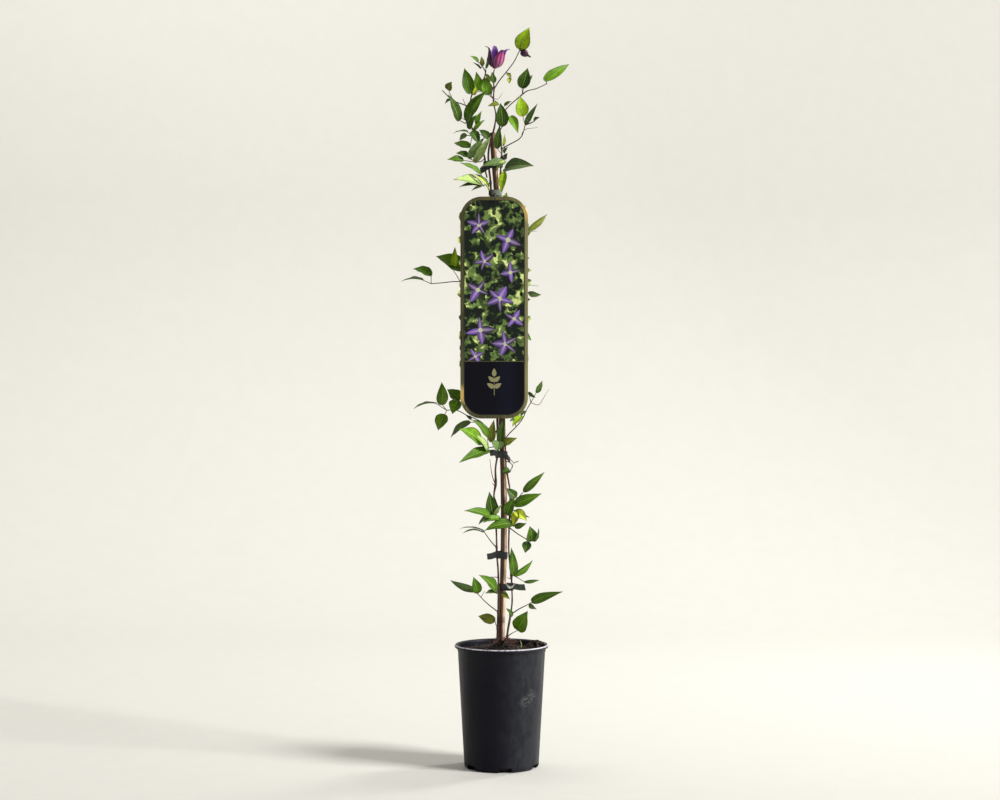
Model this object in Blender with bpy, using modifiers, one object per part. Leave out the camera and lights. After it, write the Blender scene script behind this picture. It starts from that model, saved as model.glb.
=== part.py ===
"""A young clematis tied to one bamboo cane in a black nursery pot, with a large label card.

Metres, +Z up. The origin is the middle of the pot's flat foot. The plant is seen from the -Y side, with +X
to the right. Tables of places are in millimetres. They were measured in the upright plane through the
cane, as an eye three metres off sees them, and placed() carries them to their real depth.
"""

import math

import bmesh
import bpy
from mathutils import Quaternion, Vector

MM = 0.001
EYE = Vector((-2.4, -3000.0, 587.4))
GAP = 0.3

POT_HEIGHT = 196.0
POT_RIM_RADIUS = 75.0
POT_TOP_RADIUS = 70.2
POT_LOW_RADIUS = 60.0
POT_FOOT_RADIUS = 54.5
POT_WALL = 1.2
POT_FLOOR = 1.6
POT_CORNER_RADIUS = 6.0
POT_CORNER_HEIGHT = 8.0
POT_SIDES = 32
# The lip and the band under it: how far in from the rim's radius, and how far below the top.
POT_LIP = [(5.1, 1.2), (1.4, 0.0), (0.0, 1.4), (0.0, 4.2), (0.6, 5.0), (3.6, 5.4), (3.8, 8.0), (4.9, 8.6)]
SLOT_COUNT = 6
SLOT_WIDTH = 20.0
SLOT_HEIGHT = 7.5
SLOT_DEPTH = 13.0
SLOT_MIDDLE_RADIUS = 58.0
SLOT_OVERRUN = 2.0
SLOT_TURN = 6.0

SOIL_LEVEL = 186.5
SOIL_CLEARANCE = 0.9
SOIL_FOOT_RADIUS = 51.5
SOIL_CORNER_RISE = 12.0
SOIL_EDGE_DROP = 6.0
SOIL_RINGS = 5
# Heaps in the compost are (x, y, height, radius): round the stems, and at the back right.
SOIL_HEAPS = [(2.0, -1.0, 16.0, 17.0), (52.0, 30.0, 10.0, 11.0)]
# Lumps in the compost are waves of (height, turns along x, turns along y).
SOIL_WAVES = [(1.1, 0.31, 0.27), (0.7, 0.61, 0.50)]
HOLE_RESOLUTION = 4

CANE_RADIUS = 5.0
CANE_PATH = [
    (-0.6, 0, 90), (0, 0, 202), (1.6, 0, 266.5), (3.7, 0, 363), (3.4, 0, 459), (1.0, 0, 540),
    (-3.6, 0, 740), (-8.0, 0, 930), (-12.4, 0, 985), (-14.2, 0, 1016),
]

# Stems are (x, y, z, radius).
STEM_LEFT = [
    (-6.2, -4.7, 176, 2.2), (-5.9, -4.9, 215, 2.0), (-4.8, -5.0, 262, 1.7), (-5.2, -4.2, 310, 1.5),
    (-7.5, -3.4, 345, 1.4), (-8, -4, 370, 1.4), (-9.5, -5, 403, 1.5), (-11.5, -5, 440, 1.5),
    (-9.7, -5, 449, 2.0), (-9.5, -5, 478, 1.4), (-6.5, -4.6, 499, 1.6), (-5.9, -4.6, 530, 1.9),
    (-6.8, -4.8, 560, 1.8), (-9, -5, 640, 1.7), (-11.8, -5.2, 740, 1.6), (-14.2, -5.4, 850, 1.6),
    (-16.5, -5.4, 915, 1.6), (-17.8, -5.2, 940, 1.6), (-20.6, -5.2, 965, 1.6), (-20.8, -5.4, 985, 1.5),
    (-17.8, -7.4, 1003, 1.4), (-12, -7.5, 1022, 1.4), (-9, -4.5, 1045, 1.2), (-13, -1, 1066, 1.1),
    (-12, -0.5, 1088, 1.1), (-13, -3, 1105, 0.9), (-12.2, -6.4, 1114, 0.9), (-11.4, -7.9, 1118.3, 0.9),
]
STEM_RIGHT = [
    (9.6, -3, 176, 1.7), (9.3, -3, 210, 1.6), (13.8, -4, 238, 1.7), (17, -4.4, 262, 1.3),
    (16.6, -4.4, 288, 1.3), (16, -4.4, 303, 1.7), (11.6, -4.4, 350, 1.3), (12, -4.4, 372, 1.3),
    (13.2, -5, 405, 1.5), (13.3, -5.5, 445, 1.3), (10.4, -6, 462, 1.3), (7.6, -6.6, 478, 1.2),
    (6.8, -6.6, 499, 1.2), (5.5, -6.8, 530, 1.3), (4, -7, 600, 1.3), (0.4, -7, 760, 1.3),
    (-1.6, -6.6, 900, 1.3), (-1.2, -6.4, 930, 1.3), (-1.2, -6.2, 960, 1.3), (0.5, -6.2, 985, 1.2),
    (-1.5, -6.2, 1010, 1.2), (-3, -6, 1030, 1.2), (1, -3.4, 1046, 1.0), (9, -2, 1056, 0.9),
    (28, 0, 1073, 0.9), (36, 2, 1080, 0.8),
]
STEM_SIDE = [
    (-23.2, -2.6, 944, 1.1), (-26, -2.4, 957, 1.2), (-26.4, -2.4, 973, 1.2), (-30, -1.5, 987, 1.2),
    (-38, 1, 1006, 1.2), (-46, 3, 1022, 1.2), (-53, 4, 1034, 1.3), (-51, 7, 1055, 1.0),
    (-47, 7, 1078, 1.0), (-38, 5, 1092, 0.9), (-28, 4, 1104, 0.9), (-25, 3, 1116, 0.8),
]
STEMS = {"stem_left": STEM_LEFT, "stem_right": STEM_RIGHT, "stem_side": STEM_SIDE}
# Short dry stubs of old leafstalks, which grow out of a stem.
STUBS = {
    "stem_left": [[(-5.1, -4.4, 303), (-20, -7, 303.5)], [(-9.6, -5, 448), (-15, -8, 454)]],
    "stem_right": [[(16.2, -4.4, 300), (9, -8, 302.5)], [(10.4, -6, 462), (13.4, -9, 449)]],
    "stem_side": [[(-53, 4, 1034), (-66, 0, 1041)], [(-52, 5, 1046), (-62, -1, 1071)]],
}

TWIG_RADIUS = 0.75
BARE_TWIG_RADIUS = 0.6
STUB_TIP_RADIUS = 0.45
ROOT_GAP = 0.05
SHORT_STALK = 28.0
LEAFSTALK_SAG = 0.05
LEAF_THICKNESS = 0.7
LEAF_ARCH = 0.07
LEAF_FOLD = 0.3
LEAF_BREADTH_SCALE = 2.75
LEAF_TAPER = 1.15
LEAF_STATIONS = (0.08, 0.3, 0.62, 1.0)
SMALL_LEAF = 31.0
SMALL_LEAF_STATIONS = (0.12, 0.48, 1.0)
LEAF_FACING = Vector((0.0, -1.0, 0.6))

# A shoot is its stem, the height where it leaves it, how far it leans back for each step sideways, the
# bends of its stalk, its leaves and its bare twigs.
# A leaf is the bend that its leafstalk leaves from (0 is the root), its base, tip, width and turn.
SHOOTS = {
    "shoot_low_right": ("stem_right", 208, -0.5, [(15, -8, 212)], [
        (1, (27, -12, 219), (42, -20, 249), 26, 0),
    ], []),
    "shoot_low_left": ("stem_left", 222, 0.6, [(-9, -9, 227)], [
        (1, (-11, -10, 235), (-37.5, -18, 240.5), 17, -40),
    ], []),
    "shoot_long_right": ("stem_right", 243, -0.7, [(28, -8, 252), (44, -11, 260)], [
        (2, (50.5, -13, 265), (98.5, -22, 280), 15, 36),
        (2, (45, -12.5, 259), (56, -15, 252), 8, 30),
        (0, (17, -9, 241), (7, -12, 253.5), 9, 20),
    ], []),
    "shoot_long_left": ("stem_left", 247, 0.6, [(-24, -9, 262), (-37, -12, 275)], [
        (2, (-42, -13, 282), (-83, -20, 298.5), 12, -30),
        (2, (-38, -12, 279), (-45, -24, 304), 17, 8),
    ], [[(-33, -11, 271), (-27, -12, 281)]]),
    "shoot_pair_left": ("stem_left", 282, -0.7, [(-9, -8.5, 281)], [
        (1, (-9, -9, 283), (-36, -17, 307), 19, 5),
        (1, (-7, -10, 277), (-26, -20, 278), 13, 20),
        (1, (2, -11, 277), (13, -14, 268), 9, 15),
    ], []),
    "shoot_pair_right": ("stem_right", 305, 0.5, [(19, -7.5, 306)], [
        (1, (20, -9, 308), (16, -14, 351), 15, 15),
        (1, (22, -9, 307), (51, -14, 330.5), 11, 45),
        (1, (37.5, -6, 296), (61, -9, 298.5), 7, 60),
    ], []),
    "shoot_mid_right": ("stem_right", 383, -0.5, [(24, -9, 374), (40, -12, 364)], [
        (2, (48, -14, 361.5), (45.5, -22, 385), 19, 8),
        (2, (53, -13, 361), (60, -17, 382.5), 8, 70),
        (2, (41.5, -13, 359.5), (38, -18, 342), 15, -10),
    ], []),
    "shoot_mid_left": ("stem_left", 350, 0.8, [(-18, -8, 362), (-28, -10, 376)], [
        (2, (-30, -11, 378), (-66.5, -18, 382), 9, 65),
        (2, (-30, -9, 375.5), (-62, 3, 374.5), 8, 70),
    ], [[(-28, -10, 376), (-21, -9, 384)]]),
    "shoot_heart_left": ("stem_left", 399, -0.5, [(-14, -10, 401)], [
        (1, (-14, -10, 404), (-19.5, -14, 440), 19, -5),
        (1, (-8, -12, 407), (-11.5, -14, 434), 14, -20),
        (1, (-16, -10, 399.5), (-58.5, -22, 411), 18, 5),
        (1, (-16, -10, 400), (-37, -14, 388), 14, 30),
        (1, (-3, -13, 398), (-30, -18, 391), 12, 5),
        (1, (-12, -13, 402), (1, -17, 421), 6, 15),
    ], []),
    "shoot_heart_right": ("stem_right", 408, 0, [(16, -9, 412), (21, -11, 418), (27, -11, 431)], [
        (1, (9, -12, 404), (20.5, -14, 432), 18, -8),
        (2, (22, -12, 420), (64.5, -20, 437.5), 18, 15),
        (3, (37, -13, 442), (69, -20, 471.5), 13, 25),
        (1, (22, -14, 409), (41, -20, 393.5), 16, 0),
        (1, (25, -15, 408), (18.5, -18, 383.5), 14, 20),
        (1, (28, -12, 408), (45.5, -14, 399), 7, 70),
        (3, (22, -12, 431), (8, -14, 446), 16, 0),
        (0, (17, -15, 389), (-27, -25, 378), 19, 0),
        (0, (22, -13, 384), (40, -18, 389.5), 10, 15),
    ], []),
    "shoot_tendril": ("stem_right", 470, 0, [(14, -9, 472)], [
        (1, (12, -11, 476), (1, -13, 470), 12, 0),
    ], [[(14, -9, 472), (21, -10, 487), (28, -10, 490)]]),
    "shoot_under_left": ("stem_left", 515, -0.6, [(-14, -9, 512), (-21, -11, 511)], [
        (2, (-22, -12, 507), (-68, -24, 487), 20, 5),
        (2, (-35, -14, 520), (-68, -22, 541), 25, 0),
        (2, (-24, -17, 508), (-42, -25, 532), 12, 15),
        (2, (-25, -12, 508), (-39, -15, 519), 8, 40),
        (2, (-23, -10, 530), (-45.5, -14, 556), 16, 15),
    ], []),
    "shoot_label_left": (
        "stem_left", 536, 0.45,
        [(-20, -8, 541), (-34, -8, 553), (-56, -9, 563), (-72, -8, 571), (-88, -7, 571)], [
            (5, (-96, -8, 581), (-96, -14, 616), 19, 0),
            (5, (-106, -7, 582), (-141.5, -4, 574), 13, 68),
            (4, (-67.5, -10, 588), (-87, -15, 605), 21, 5),
            (4, (-70, -4, 586), (-79, -11, 565), 22, 8),
            (5, (-91, -9, 563), (-102, -15, 538.5), 22, 5),
            (2, (-51, -10, 551), (-82, -17, 527), 16, 20),
            (2, (-49, -8, 556), (-57, -10, 562.5), 7, 15),
        ], [],
    ),
    "shoot_under_label": ("stem_right", 515, 0, [(3, -10.5, 517)], [
        (1, (-1, -11, 520), (3, -11, 557), 13, -10),
        (1, (-16, -9, 521), (-12, -9, 556), 14, -10),
        (1, (-5, -12, 521), (-8, -22, 505), 21, 0),
        (1, (2, -11, 517), (25, -16, 526.5), 13, 8),
    ], []),
    "shoot_label_right": (
        "stem_right", 525, 0.5,
        [(12, -8.5, 533), (23, -9, 544), (33, -8, 556), (41, -7, 573), (47, -6, 583)], [
            (3, (32, -10, 561), (17, -15, 545), 13, 12),
            (4, (39, -8, 569), (30, -9, 560), 8, 25),
            (2, (22, -9, 557), (13, -10, 553), 7, 20),
            (5, (56, -7, 600), (66, -10, 618.5), 10, 45),
            (5, (44, -5, 600), (55, -7, 591), 7, 65),
        ], [[(47, -6, 583), (60, -6, 580), (67, -6, 590), (76, -6, 605)]],
    ),
    "shoot_beside_left": (
        "stem_left", 762, 0.3, [(-40, -7, 770), (-66, -7, 777), (-100, -6, 775), (-113, -6, 774)], [
            (2, (-63, -4, 797), (-105, -10, 818.5), 30, 5),
            (2, (-78, -10, 798), (-74.6, -16, 833), 13, 10),
            (4, (-113, -7, 788), (-142, -12, 798.5), 18, 8),
            (4, (-127, -7, 780), (-161, -12, 778.5), 14, 42),
        ], [],
    ),
    "shoot_beside_right": ("stem_right", 838, 0.6, [(22, -8, 848), (40, -8, 857)], [
        (2, (44, -9, 861), (74, -13, 885.5), 12, 55),
    ], [[(40, -8, 857), (57, -8, 858.5)]]),
    "shoot_edge_right": ("stem_right", 745, 0.3, [(24, -8, 755), (40, -8, 760)], [
        (2, (44, -8, 760), (64, -10, 756), 11, 68),
    ], [[(24, -8, 755), (44, -7, 771), (60, -7, 770.5)]]),
    "shoot_tips_right": ("stem_right", 690, 0.2, [(18, -8.5, 700)], [
        (1, (28, -5, 706), (46.5, -5, 722.5), 15, 5),
        (1, (26, -5, 698), (48.3, -5, 683), 15, 5),
    ], []),
    "shoot_back_one": ("stem_right", 612, 0, [(11, -2, 616), (13, 10, 621)], [
        (2, (16, 14, 623), (35, 32, 640), 20, 150),
        (2, (9, 16, 623), (-8, 36, 642), 19, 165),
    ], []),
    "shoot_back_two": ("stem_left", 655, 0, [(-17, -1, 660), (-18, 11, 667)], [
        (2, (-21, 14, 668), (-45, 28, 684), 20, 165),
        (2, (-16, 17, 668), (-3, 36, 690), 19, 150),
    ], []),
    "shoot_back_three": ("stem_left", 727, 0, [(-20, -1, 731), (-20, 10, 738)], [
        (2, (-23, 14, 740), (-40, 33, 760), 21, 160),
        (2, (-16, 15, 740), (5, 33, 750), 20, 155),
    ], []),
    "shoot_back_four": ("stem_right", 800, 0, [(8, -1, 805), (8, 11, 811)], [
        (2, (11, 15, 812), (35, 29, 826), 20, 155),
        (2, (4, 16, 812), (-14, 36, 831), 18, 160),
    ], []),
    "shoot_back_five": ("stem_left", 868, 0, [(-23, 0, 872), (-22, 11, 879)], [
        (2, (-25, 14, 881), (-46, 29, 897), 20, 160),
        (2, (-18, 15, 881), (2, 31, 893), 18, 150),
    ], []),
    "crown_tie_right": ("stem_right", 950, -0.7, [(3, -10, 951), (5, -12, 956)], [
        (2, (7, -12, 959), (50.5, -19, 965), 29, 0),
        (1, (4.5, -13, 952), (0.5, -17, 919.5), 13, 10),
    ], []),
    "crown_front": ("stem_right", 977, -0.2, [(4, -10, 976), (5, -14, 972)], [
        (2, (4, -15, 969), (-33, -21, 962), 17, 5), (2, (6, -17, 970), (-9, -22, 957), 9, 0),
        (1, (-7, -12, 992), (-3.5, -16, 1027), 13, 0),
    ], []),
    "crown_low_left": ("stem_left", 936, -0.8, [(-22, -9, 933), (-30, -10, 932)], [
        (2, (-32, -11, 932), (-77, -20, 941.5), 24, 5),
        (1, (-34, -13, 950), (-67, -17, 968), 14, 5),
        (1, (-20, -16, 924), (-48, -21, 952), 7, 25),
        (1, (-21, -11, 930), (-42, -10, 950), 10, 20),
        (2, (-34, -13, 929), (-48, -14, 923.5), 6, 10), (2, (-34, -14, 931), (-68, -19, 930), 9, 0),
    ], []),
    "crown_mid_left": ("stem_side", 975, 0.0, [(-33, -7, 970), (-42, -9, 969)], [
        (2, (-42, -11, 970), (-17, -17, 1011), 15, 0),
        (2, (-52, -9, 976), (-27, -12, 1009), 13, 15),
        (2, (-54, -7, 978), (-73, -7, 984), 14, 10),
        (2, (-62, -10, 972), (-87, -15, 973), 14, 5),
    ], []),
    "crown_side_left": ("stem_side", 1010, 0.9, [(-47, -4, 1011)], [
        (1, (-51, -8, 993), (-76.5, -13, 1000), 15, 0),
        (1, (-56, -6, 1012), (-68, -10, 1004), 12, 5),
        (1, (-55, -4, 1018), (-77.5, -8, 1016), 8, 35),
    ], []),
    "crown_dark": ("stem_side", 1020, 0, [(-46, -4, 1021)], [
        (1, (-47, -9, 1018), (-35, -11, 998), 17, -12),
        (1, (-52, -7, 1023), (-41, -10, 1045), 13, -18),
        (1, (-44, -8, 1021), (-27, -12, 1037), 7, 20),
        (1, (-40, -8, 1030), (-32, -12, 1051), 9, 0),
        (1, (-21, -11, 1008), (-36, -13, 1021), 13, -10),
    ], []),
    "crown_left": ("stem_side", 1034, -0.5, [(-58, -1, 1031)], [
        (1, (-55, -5, 1037), (-24, -13, 1084), 25, -12),
        (1, (-48, -14, 1046), (-27, -18, 1081), 10, 15),
        (1, (-69, -3, 1037), (-85, -12, 1078), 18, 15),
    ], []),
    "crown_twig_left": ("stem_side", 1057, 0.9, [(-60, 4, 1061), (-78, 3, 1068), (-95, 1, 1084)], [
        (2, (-82, 2, 1069), (-91, 0, 1062), 8, 15),
        (2, (-85, 3, 1085), (-80, 1, 1098), 14, 0),
    ], []),
    "crown_centre": ("stem_right", 1020, 0, [(0, -10, 1024)], [
        (1, (2, -11, 1028), (-2, -14, 1064), 21, -8),
        (1, (15, -10, 1042), (26.5, -15, 1016), 14, 5),
        (1, (5, -9, 1060), (16, -13, 1067), 6, 10),
    ], []),
    "crown_right": (
        "stem_right", 990, -0.7, [(5, -9, 993), (14, -9, 998), (32, -8, 1010), (38, -8, 1028)], [
            (4, (39, -9, 1031), (58, -13, 1063), 9, 35),
            (4, (43, -10, 1035), (48, -13, 1053), 9, 10),
            (4, (34, -10, 1044), (29.5, -15, 1075), 21, 0),
            (1, (3, -11, 996), (5, -14, 1014), 5, 20),
            (1, (4, -12, 984), (10, -15, 993), 7, 0), (4, (52, -9, 1035), (61, -12, 1041), 9, 0),
        ], [
            [(32, -8, 1010), (34, -8, 1017), (58, -8, 1025)],
            [(38, -8, 1028), (52, -8, 1034), (58, -8, 1040)],
        ],
    ),
    "crown_far_right": ("stem_right", 1078, 0.6, [(39, -6, 1082), (56, -6, 1087), (73, -6, 1095)], [
        (3, (70, -7, 1101), (108.5, -14, 1126.5), 17, 12),
        (0, (33, -7, 1089), (42, -14, 1120), 21, 0),
        (0, (37, -6, 1098), (50, -9, 1108.5), 9, 20),
    ], []),
    "crown_upper_left": ("stem_side", 1080, 0.9, [(-48, 1, 1081)], [
        (1, (-50, -1, 1080), (-59.5, -9, 1120), 20, 0),
        (1, (-36, -2, 1085), (-40.5, -9, 1114), 17, 12),
        (1, (-31, -5, 1083), (-29, -9, 1103), 10, 0), (1, (-44, -8, 1077), (-41, -10, 1091), 7, 0),
    ], []),
    "crown_upper_mid": ("stem_left", 1073, 0.3, [(-17, -3, 1074)], [
        (1, (-22, -2, 1078), (-27, -8, 1106), 19, 0),
        (1, (-12, -7, 1097), (-15, -10, 1114), 10, 0),
        (1, (-19, -7, 1099), (-26, -9, 1112), 8, 0),
        (1, (-5, -10, 1062), (-22, -13, 1059), 10, 5),
    ], [[(-17, -3, 1074), (-6, -6, 1070), (1, -6, 1080)]]),
    "crown_shoot": (
        "stem_left", 1086, 0, [(-4, -4, 1099), (8, -6, 1114), (20, -8, 1130), (28, -9, 1146)], [
            (4, (30, -10, 1151), (44, -19, 1185.5), 26, 0),
            (2, (9, -8, 1111), (16, -10, 1104), 7, 0), (2, (13, -8, 1104), (12.5, -9, 1095), 7, 0),
        ], [],
    ),
    "crown_young_tip": ("stem_side", 1114, 0.5, [(-31, 1, 1123), (-35, 0, 1128)], [
        (2, (-38, -1, 1130), (-50, -6, 1139.5), 8, 15),
        (1, (-34, -1, 1119), (-46, -6, 1129), 7, 35),
        (1, (-31, -2, 1124), (-32, -6, 1139), 8, 15),
        (0, (-25, -2, 1120), (-23, -6, 1137), 6, 45),
    ], []),
}

TIE_THICKNESS = 0.8
TIE_CLEARANCE = 0.7
TIE_WIDTH = 11.0
TIE_SIDES = 16
TAIL_WIDTH = 10.3
STRAP_RADIUS = 0.9
# The strap that goes down in front of the label card, through its hole and back up to the cane.
STRAP = [
    (-10.4, -6.9, 919), (-10.4, -16.6, 915.5), (-10.4, -16.8, 909), (-10.4, -14.8, 906.3),
    (-10.4, -12.0, 906.3), (-10.4, -6.9, 913),
]
# A tie is its height, the stems that it holds to the cane, the two ends of each loose tail, and its straps.
TIES = {
    "tie_lower": (288, ["stem_right"], [((14, -7.0, 288.5), (38, -9.5, 287))], []),
    "tie_middle": (339, ["stem_left"], [((-7, -6.2, 339.5), (-23, -10, 336))], []),
    "tie_upper": (500, ["stem_left", "stem_right"], [((-5, -8.0, 501.5), (-19, -10.5, 502))], []),
    "tie_top": (965, ["stem_left", "stem_right", "stem_side"], [((-20, -8.4, 963), (-34, -10, 955))], []),
    "label_tie": (919.5, ["stem_left", "stem_right"], [], [STRAP]),
}

LABEL_MIDDLE = (-11.7, -13.6, 735.7)
LABEL_WIDTH = 108.0
LABEL_HEIGHT = 354.5
LABEL_CORNER = 34.0
LABEL_THICKNESS = 0.8
LABEL_HOLE = (-10.4, 905.0)
LABEL_HOLE_RADIUS = 2.5
LABEL_HOLE_SIDES = 16
LABEL_CORNER_STEPS = 7

FLOWER_BASE = (-11.4, -8.0, 1118.6)
FLOWER_AXIS = Vector((0.16, -0.30, 0.94)).normalized()
# Turned shapes of the flower are (radius, height along its axis), from the top down the outside.
CUP_PROFILE = [(0, 3.4), (2.6, 3.2), (3.6, 2.0), (2.4, 0.6), (0, 0.5)]
STAMEN_PROFILE = [(0, 17.7), (1.6, 16.2), (3.0, 10.7), (2.6, 6.7), (1.6, 3.7), (0, 3.7)]
FLOWER_SIDES = 12
TEPAL_THICKNESS = 1.1
TEPAL_ANGLES = (198, 108, 18, 302)
BELL_RADII = [(0.0, 2.2), (0.16, 9.0), (0.38, 12.6), (0.62, 13.2), (0.82, 14.2), (0.93, 17.0), (1.0, 20.5)]
BELL_HEIGHTS = [(0.0, 0.0), (0.16, 4.0), (0.38, 11.5), (0.62, 20.5), (0.82, 28.0), (0.93, 31.6), (1.0, 31.8)]
TEPAL_HALF_ANGLE = 40.0
TEPAL_STAGGER = 0.4
TEPAL_RISE = 1.6
TEPAL_CHANNEL = 1.2
TEPAL_FULLNESS = 1.9
TEPAL_TAPER = 0.75
TEPAL_LEAST_BREADTH = 0.05
BUD_SIDES = 10
BUD_CENTRE = (36.6, -12.0, 1144.0)
BUD_AXIS = Vector((0.83, -0.1, -0.55)).normalized()
BUD_PROFILE = [
    (0, 12.8), (0.4, 12.6), (2.2, 7.0), (4.6, 4.6), (6.3, 1.2), (6.0, -2.6), (3.4, -5.6), (1.2, -6.2),
    (0.8, -8.6), (0, -8.6),
]


def clear_scene():
    for obj in list(bpy.data.objects):
        bpy.data.objects.remove(obj)


def new_collection(name):
    collection = bpy.data.collections.new(name)
    bpy.context.scene.collection.children.link(collection)
    return collection


def material(name, colour, roughness):
    made = bpy.data.materials.new(name)
    made.use_nodes = True
    shader = made.node_tree.nodes["Principled BSDF"]
    shader.inputs["Base Color"].default_value = (*colour, 1.0)
    shader.inputs["Roughness"].default_value = roughness
    shader.inputs["Metallic"].default_value = 0.0
    return made


def placed(point):
    """A place in the cane's plane as the eye sees it, carried to its own depth y, in metres."""
    x, y, z = point[:3]
    spread = 1 + y / -EYE.y
    return Vector((EYE.x + (x - EYE.x) * spread, y, EYE.z + (z - EYE.z) * spread)) * MM


def add_object(name, mesh, collection):
    obj = bpy.data.objects.new(name, mesh)
    collection.objects.link(obj)
    return obj


def settled(obj, collection):
    """The object as a plain mesh object of the same name, with its modifiers or bevel applied."""
    bpy.context.view_layer.update()
    graph = bpy.context.evaluated_depsgraph_get()
    mesh = bpy.data.meshes.new_from_object(obj.evaluated_get(graph))
    name = obj.name
    place = obj.matrix_world.copy()
    bpy.data.objects.remove(obj)
    shape = bmesh.new()
    shape.from_mesh(mesh)
    bmesh.ops.remove_doubles(shape, verts=shape.verts, dist=1e-6)
    shape.to_mesh(mesh)
    shape.free()
    made = add_object(name, mesh, collection)
    made.matrix_world = place
    return made


def tube(name, points, radii, resolution, collection):
    """A closed round rod along points in metres, with a radius in metres at each."""
    curve = bpy.data.curves.new(name, "CURVE")
    curve.dimensions = "3D"
    curve.bevel_depth = 1.0
    curve.bevel_resolution = resolution
    curve.use_fill_caps = True
    spline = curve.splines.new("POLY")
    spline.points.add(len(points) - 1)
    for knot, point, radius in zip(spline.points, points, radii):
        knot.co = (*point, 1.0)
        knot.radius = radius
    return settled(add_object(name, curve, collection), collection)


def box(collection):
    """A cube of one metre in this collection alone, to be scaled."""
    bpy.ops.mesh.primitive_cube_add(size=1.0)
    cube = bpy.context.object
    for owner in list(cube.users_collection):
        owner.objects.unlink(cube)
    collection.objects.link(cube)
    return cube


def flat_outline(name, loops, half_thickness, collection):
    """A plate in the XY plane from closed loops of (x, y) in millimetres; an inner loop is a hole."""
    curve = bpy.data.curves.new(name, "CURVE")
    curve.dimensions = "2D"
    curve.fill_mode = "BOTH"
    curve.extrude = half_thickness * MM
    for loop in loops:
        spline = curve.splines.new("POLY")
        spline.points.add(len(loop) - 1)
        for knot, (x, y) in zip(spline.points, loop):
            knot.co = (x * MM, y * MM, 0.0, 1.0)
        spline.use_cyclic_u = True
    return add_object(name, curve, collection)


def turned(name, profile, steps, collection):
    """A profile of (radius, height) in millimetres, turned about Z; it runs down the outer side."""
    mesh = bpy.data.meshes.new(name)
    points = [(radius * MM, 0.0, height * MM) for radius, height in profile]
    mesh.from_pydata(points, [(i, i + 1) for i in range(len(points) - 1)], [])
    obj = add_object(name, mesh, collection)
    screw = obj.modifiers.new("turn", "SCREW")
    screw.steps = steps
    screw.render_steps = steps
    screw.use_merge_vertices = True
    screw.merge_threshold = 0.00001
    return obj


def combine(obj, others, operation, solver="EXACT"):
    """Joins the objects of one collection to obj, or cuts them from it, then removes them."""
    boolean = obj.modifiers.new(operation.lower(), "BOOLEAN")
    boolean.operation = operation
    boolean.solver = solver
    boolean.operand_type = "COLLECTION"
    boolean.collection = others
    made = settled(obj, obj.users_collection[0])
    for other in list(others.objects):
        bpy.data.objects.remove(other)
    return made


def dress(obj, finish, smooth_angle=35.0):
    obj.data.materials.clear()
    obj.data.materials.append(finish)
    obj.data.shade_smooth()
    obj.data.set_sharp_from_angle(angle=math.radians(smooth_angle))


def arc(centre, radius, start, end, steps):
    """Points on an arc in (x, y), from one angle in degrees to another."""
    angles = [math.radians(start + (end - start) * i / steps) for i in range(steps + 1)]
    return [(centre[0] + radius * math.cos(a), centre[1] + radius * math.sin(a)) for a in angles]


def along_path(path, z):
    """The point and radius of a stem or the cane at a height."""
    for low, high in zip(path, path[1:]):
        if low[2] <= z <= high[2]:
            share = (z - low[2]) / (high[2] - low[2])
            return [a + (b - a) * share for a, b in zip(low, high)]
    raise ValueError("height is off the path")


def between(table, value):
    """Straight-line value from a table of (place, amount)."""
    for (low, first), (high, second) in zip(table, table[1:]):
        if value <= high:
            return first + (second - first) * (value - low) / (high - low)
    return table[-1][1]


def pot_outer_radius(z):
    top = POT_HEIGHT - POT_LIP[-1][1]
    low = POT_CORNER_HEIGHT
    return POT_LOW_RADIUS + (POT_TOP_RADIUS - POT_LOW_RADIUS) * (z - low) / (top - low)


def pot_profile():
    """Up the inside from the floor's middle, over the rolled rim, down the outside and across the foot."""
    lip = [(POT_RIM_RADIUS - inset, POT_HEIGHT - drop) for inset, drop in POT_LIP]
    inner = [(0.0, POT_FLOOR), (POT_FOOT_RADIUS - POT_WALL, POT_FLOOR)]
    inner += [(pot_outer_radius(z) - POT_WALL, z) for z in (POT_CORNER_HEIGHT, lip[4][1])]
    low = [(pot_outer_radius(POT_CORNER_HEIGHT), POT_CORNER_HEIGHT)]
    low += arc((POT_FOOT_RADIUS, POT_CORNER_RADIUS), POT_CORNER_RADIUS, -20, -90, 2)
    return inner + lip + low + [(0.0, 0.0)]


def make_pot(parts, helpers):
    pot = settled(turned("pot", pot_profile(), POT_SIDES, parts), parts)
    for number in range(SLOT_COUNT):
        slot = box(helpers)
        turn = math.radians(-90 + SLOT_TURN + number * 360 / SLOT_COUNT)
        place = Vector((math.cos(turn), math.sin(turn))) * SLOT_MIDDLE_RADIUS
        slot.location = Vector((place.x, place.y, (SLOT_HEIGHT - SLOT_OVERRUN) / 2)) * MM
        slot.rotation_euler = (0, 0, turn)
        slot.scale = Vector((SLOT_DEPTH, SLOT_WIDTH, SLOT_HEIGHT + SLOT_OVERRUN)) * MM
    pot = combine(pot, helpers, "DIFFERENCE")
    dress(pot, material("black_pot_plastic", (0.018, 0.020, 0.024), 0.45))


def soil_height(x, y):
    """Top of the compost in millimetres."""
    height = SOIL_LEVEL
    for middle_x, middle_y, rise, radius in SOIL_HEAPS:
        height += rise * math.exp(-((x - middle_x) ** 2 + (y - middle_y) ** 2) / radius**2)
    for rise, along_x, along_y in SOIL_WAVES:
        height += rise * math.sin(along_x * x + 1.0) * math.cos(along_y * y)
    return height


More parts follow.
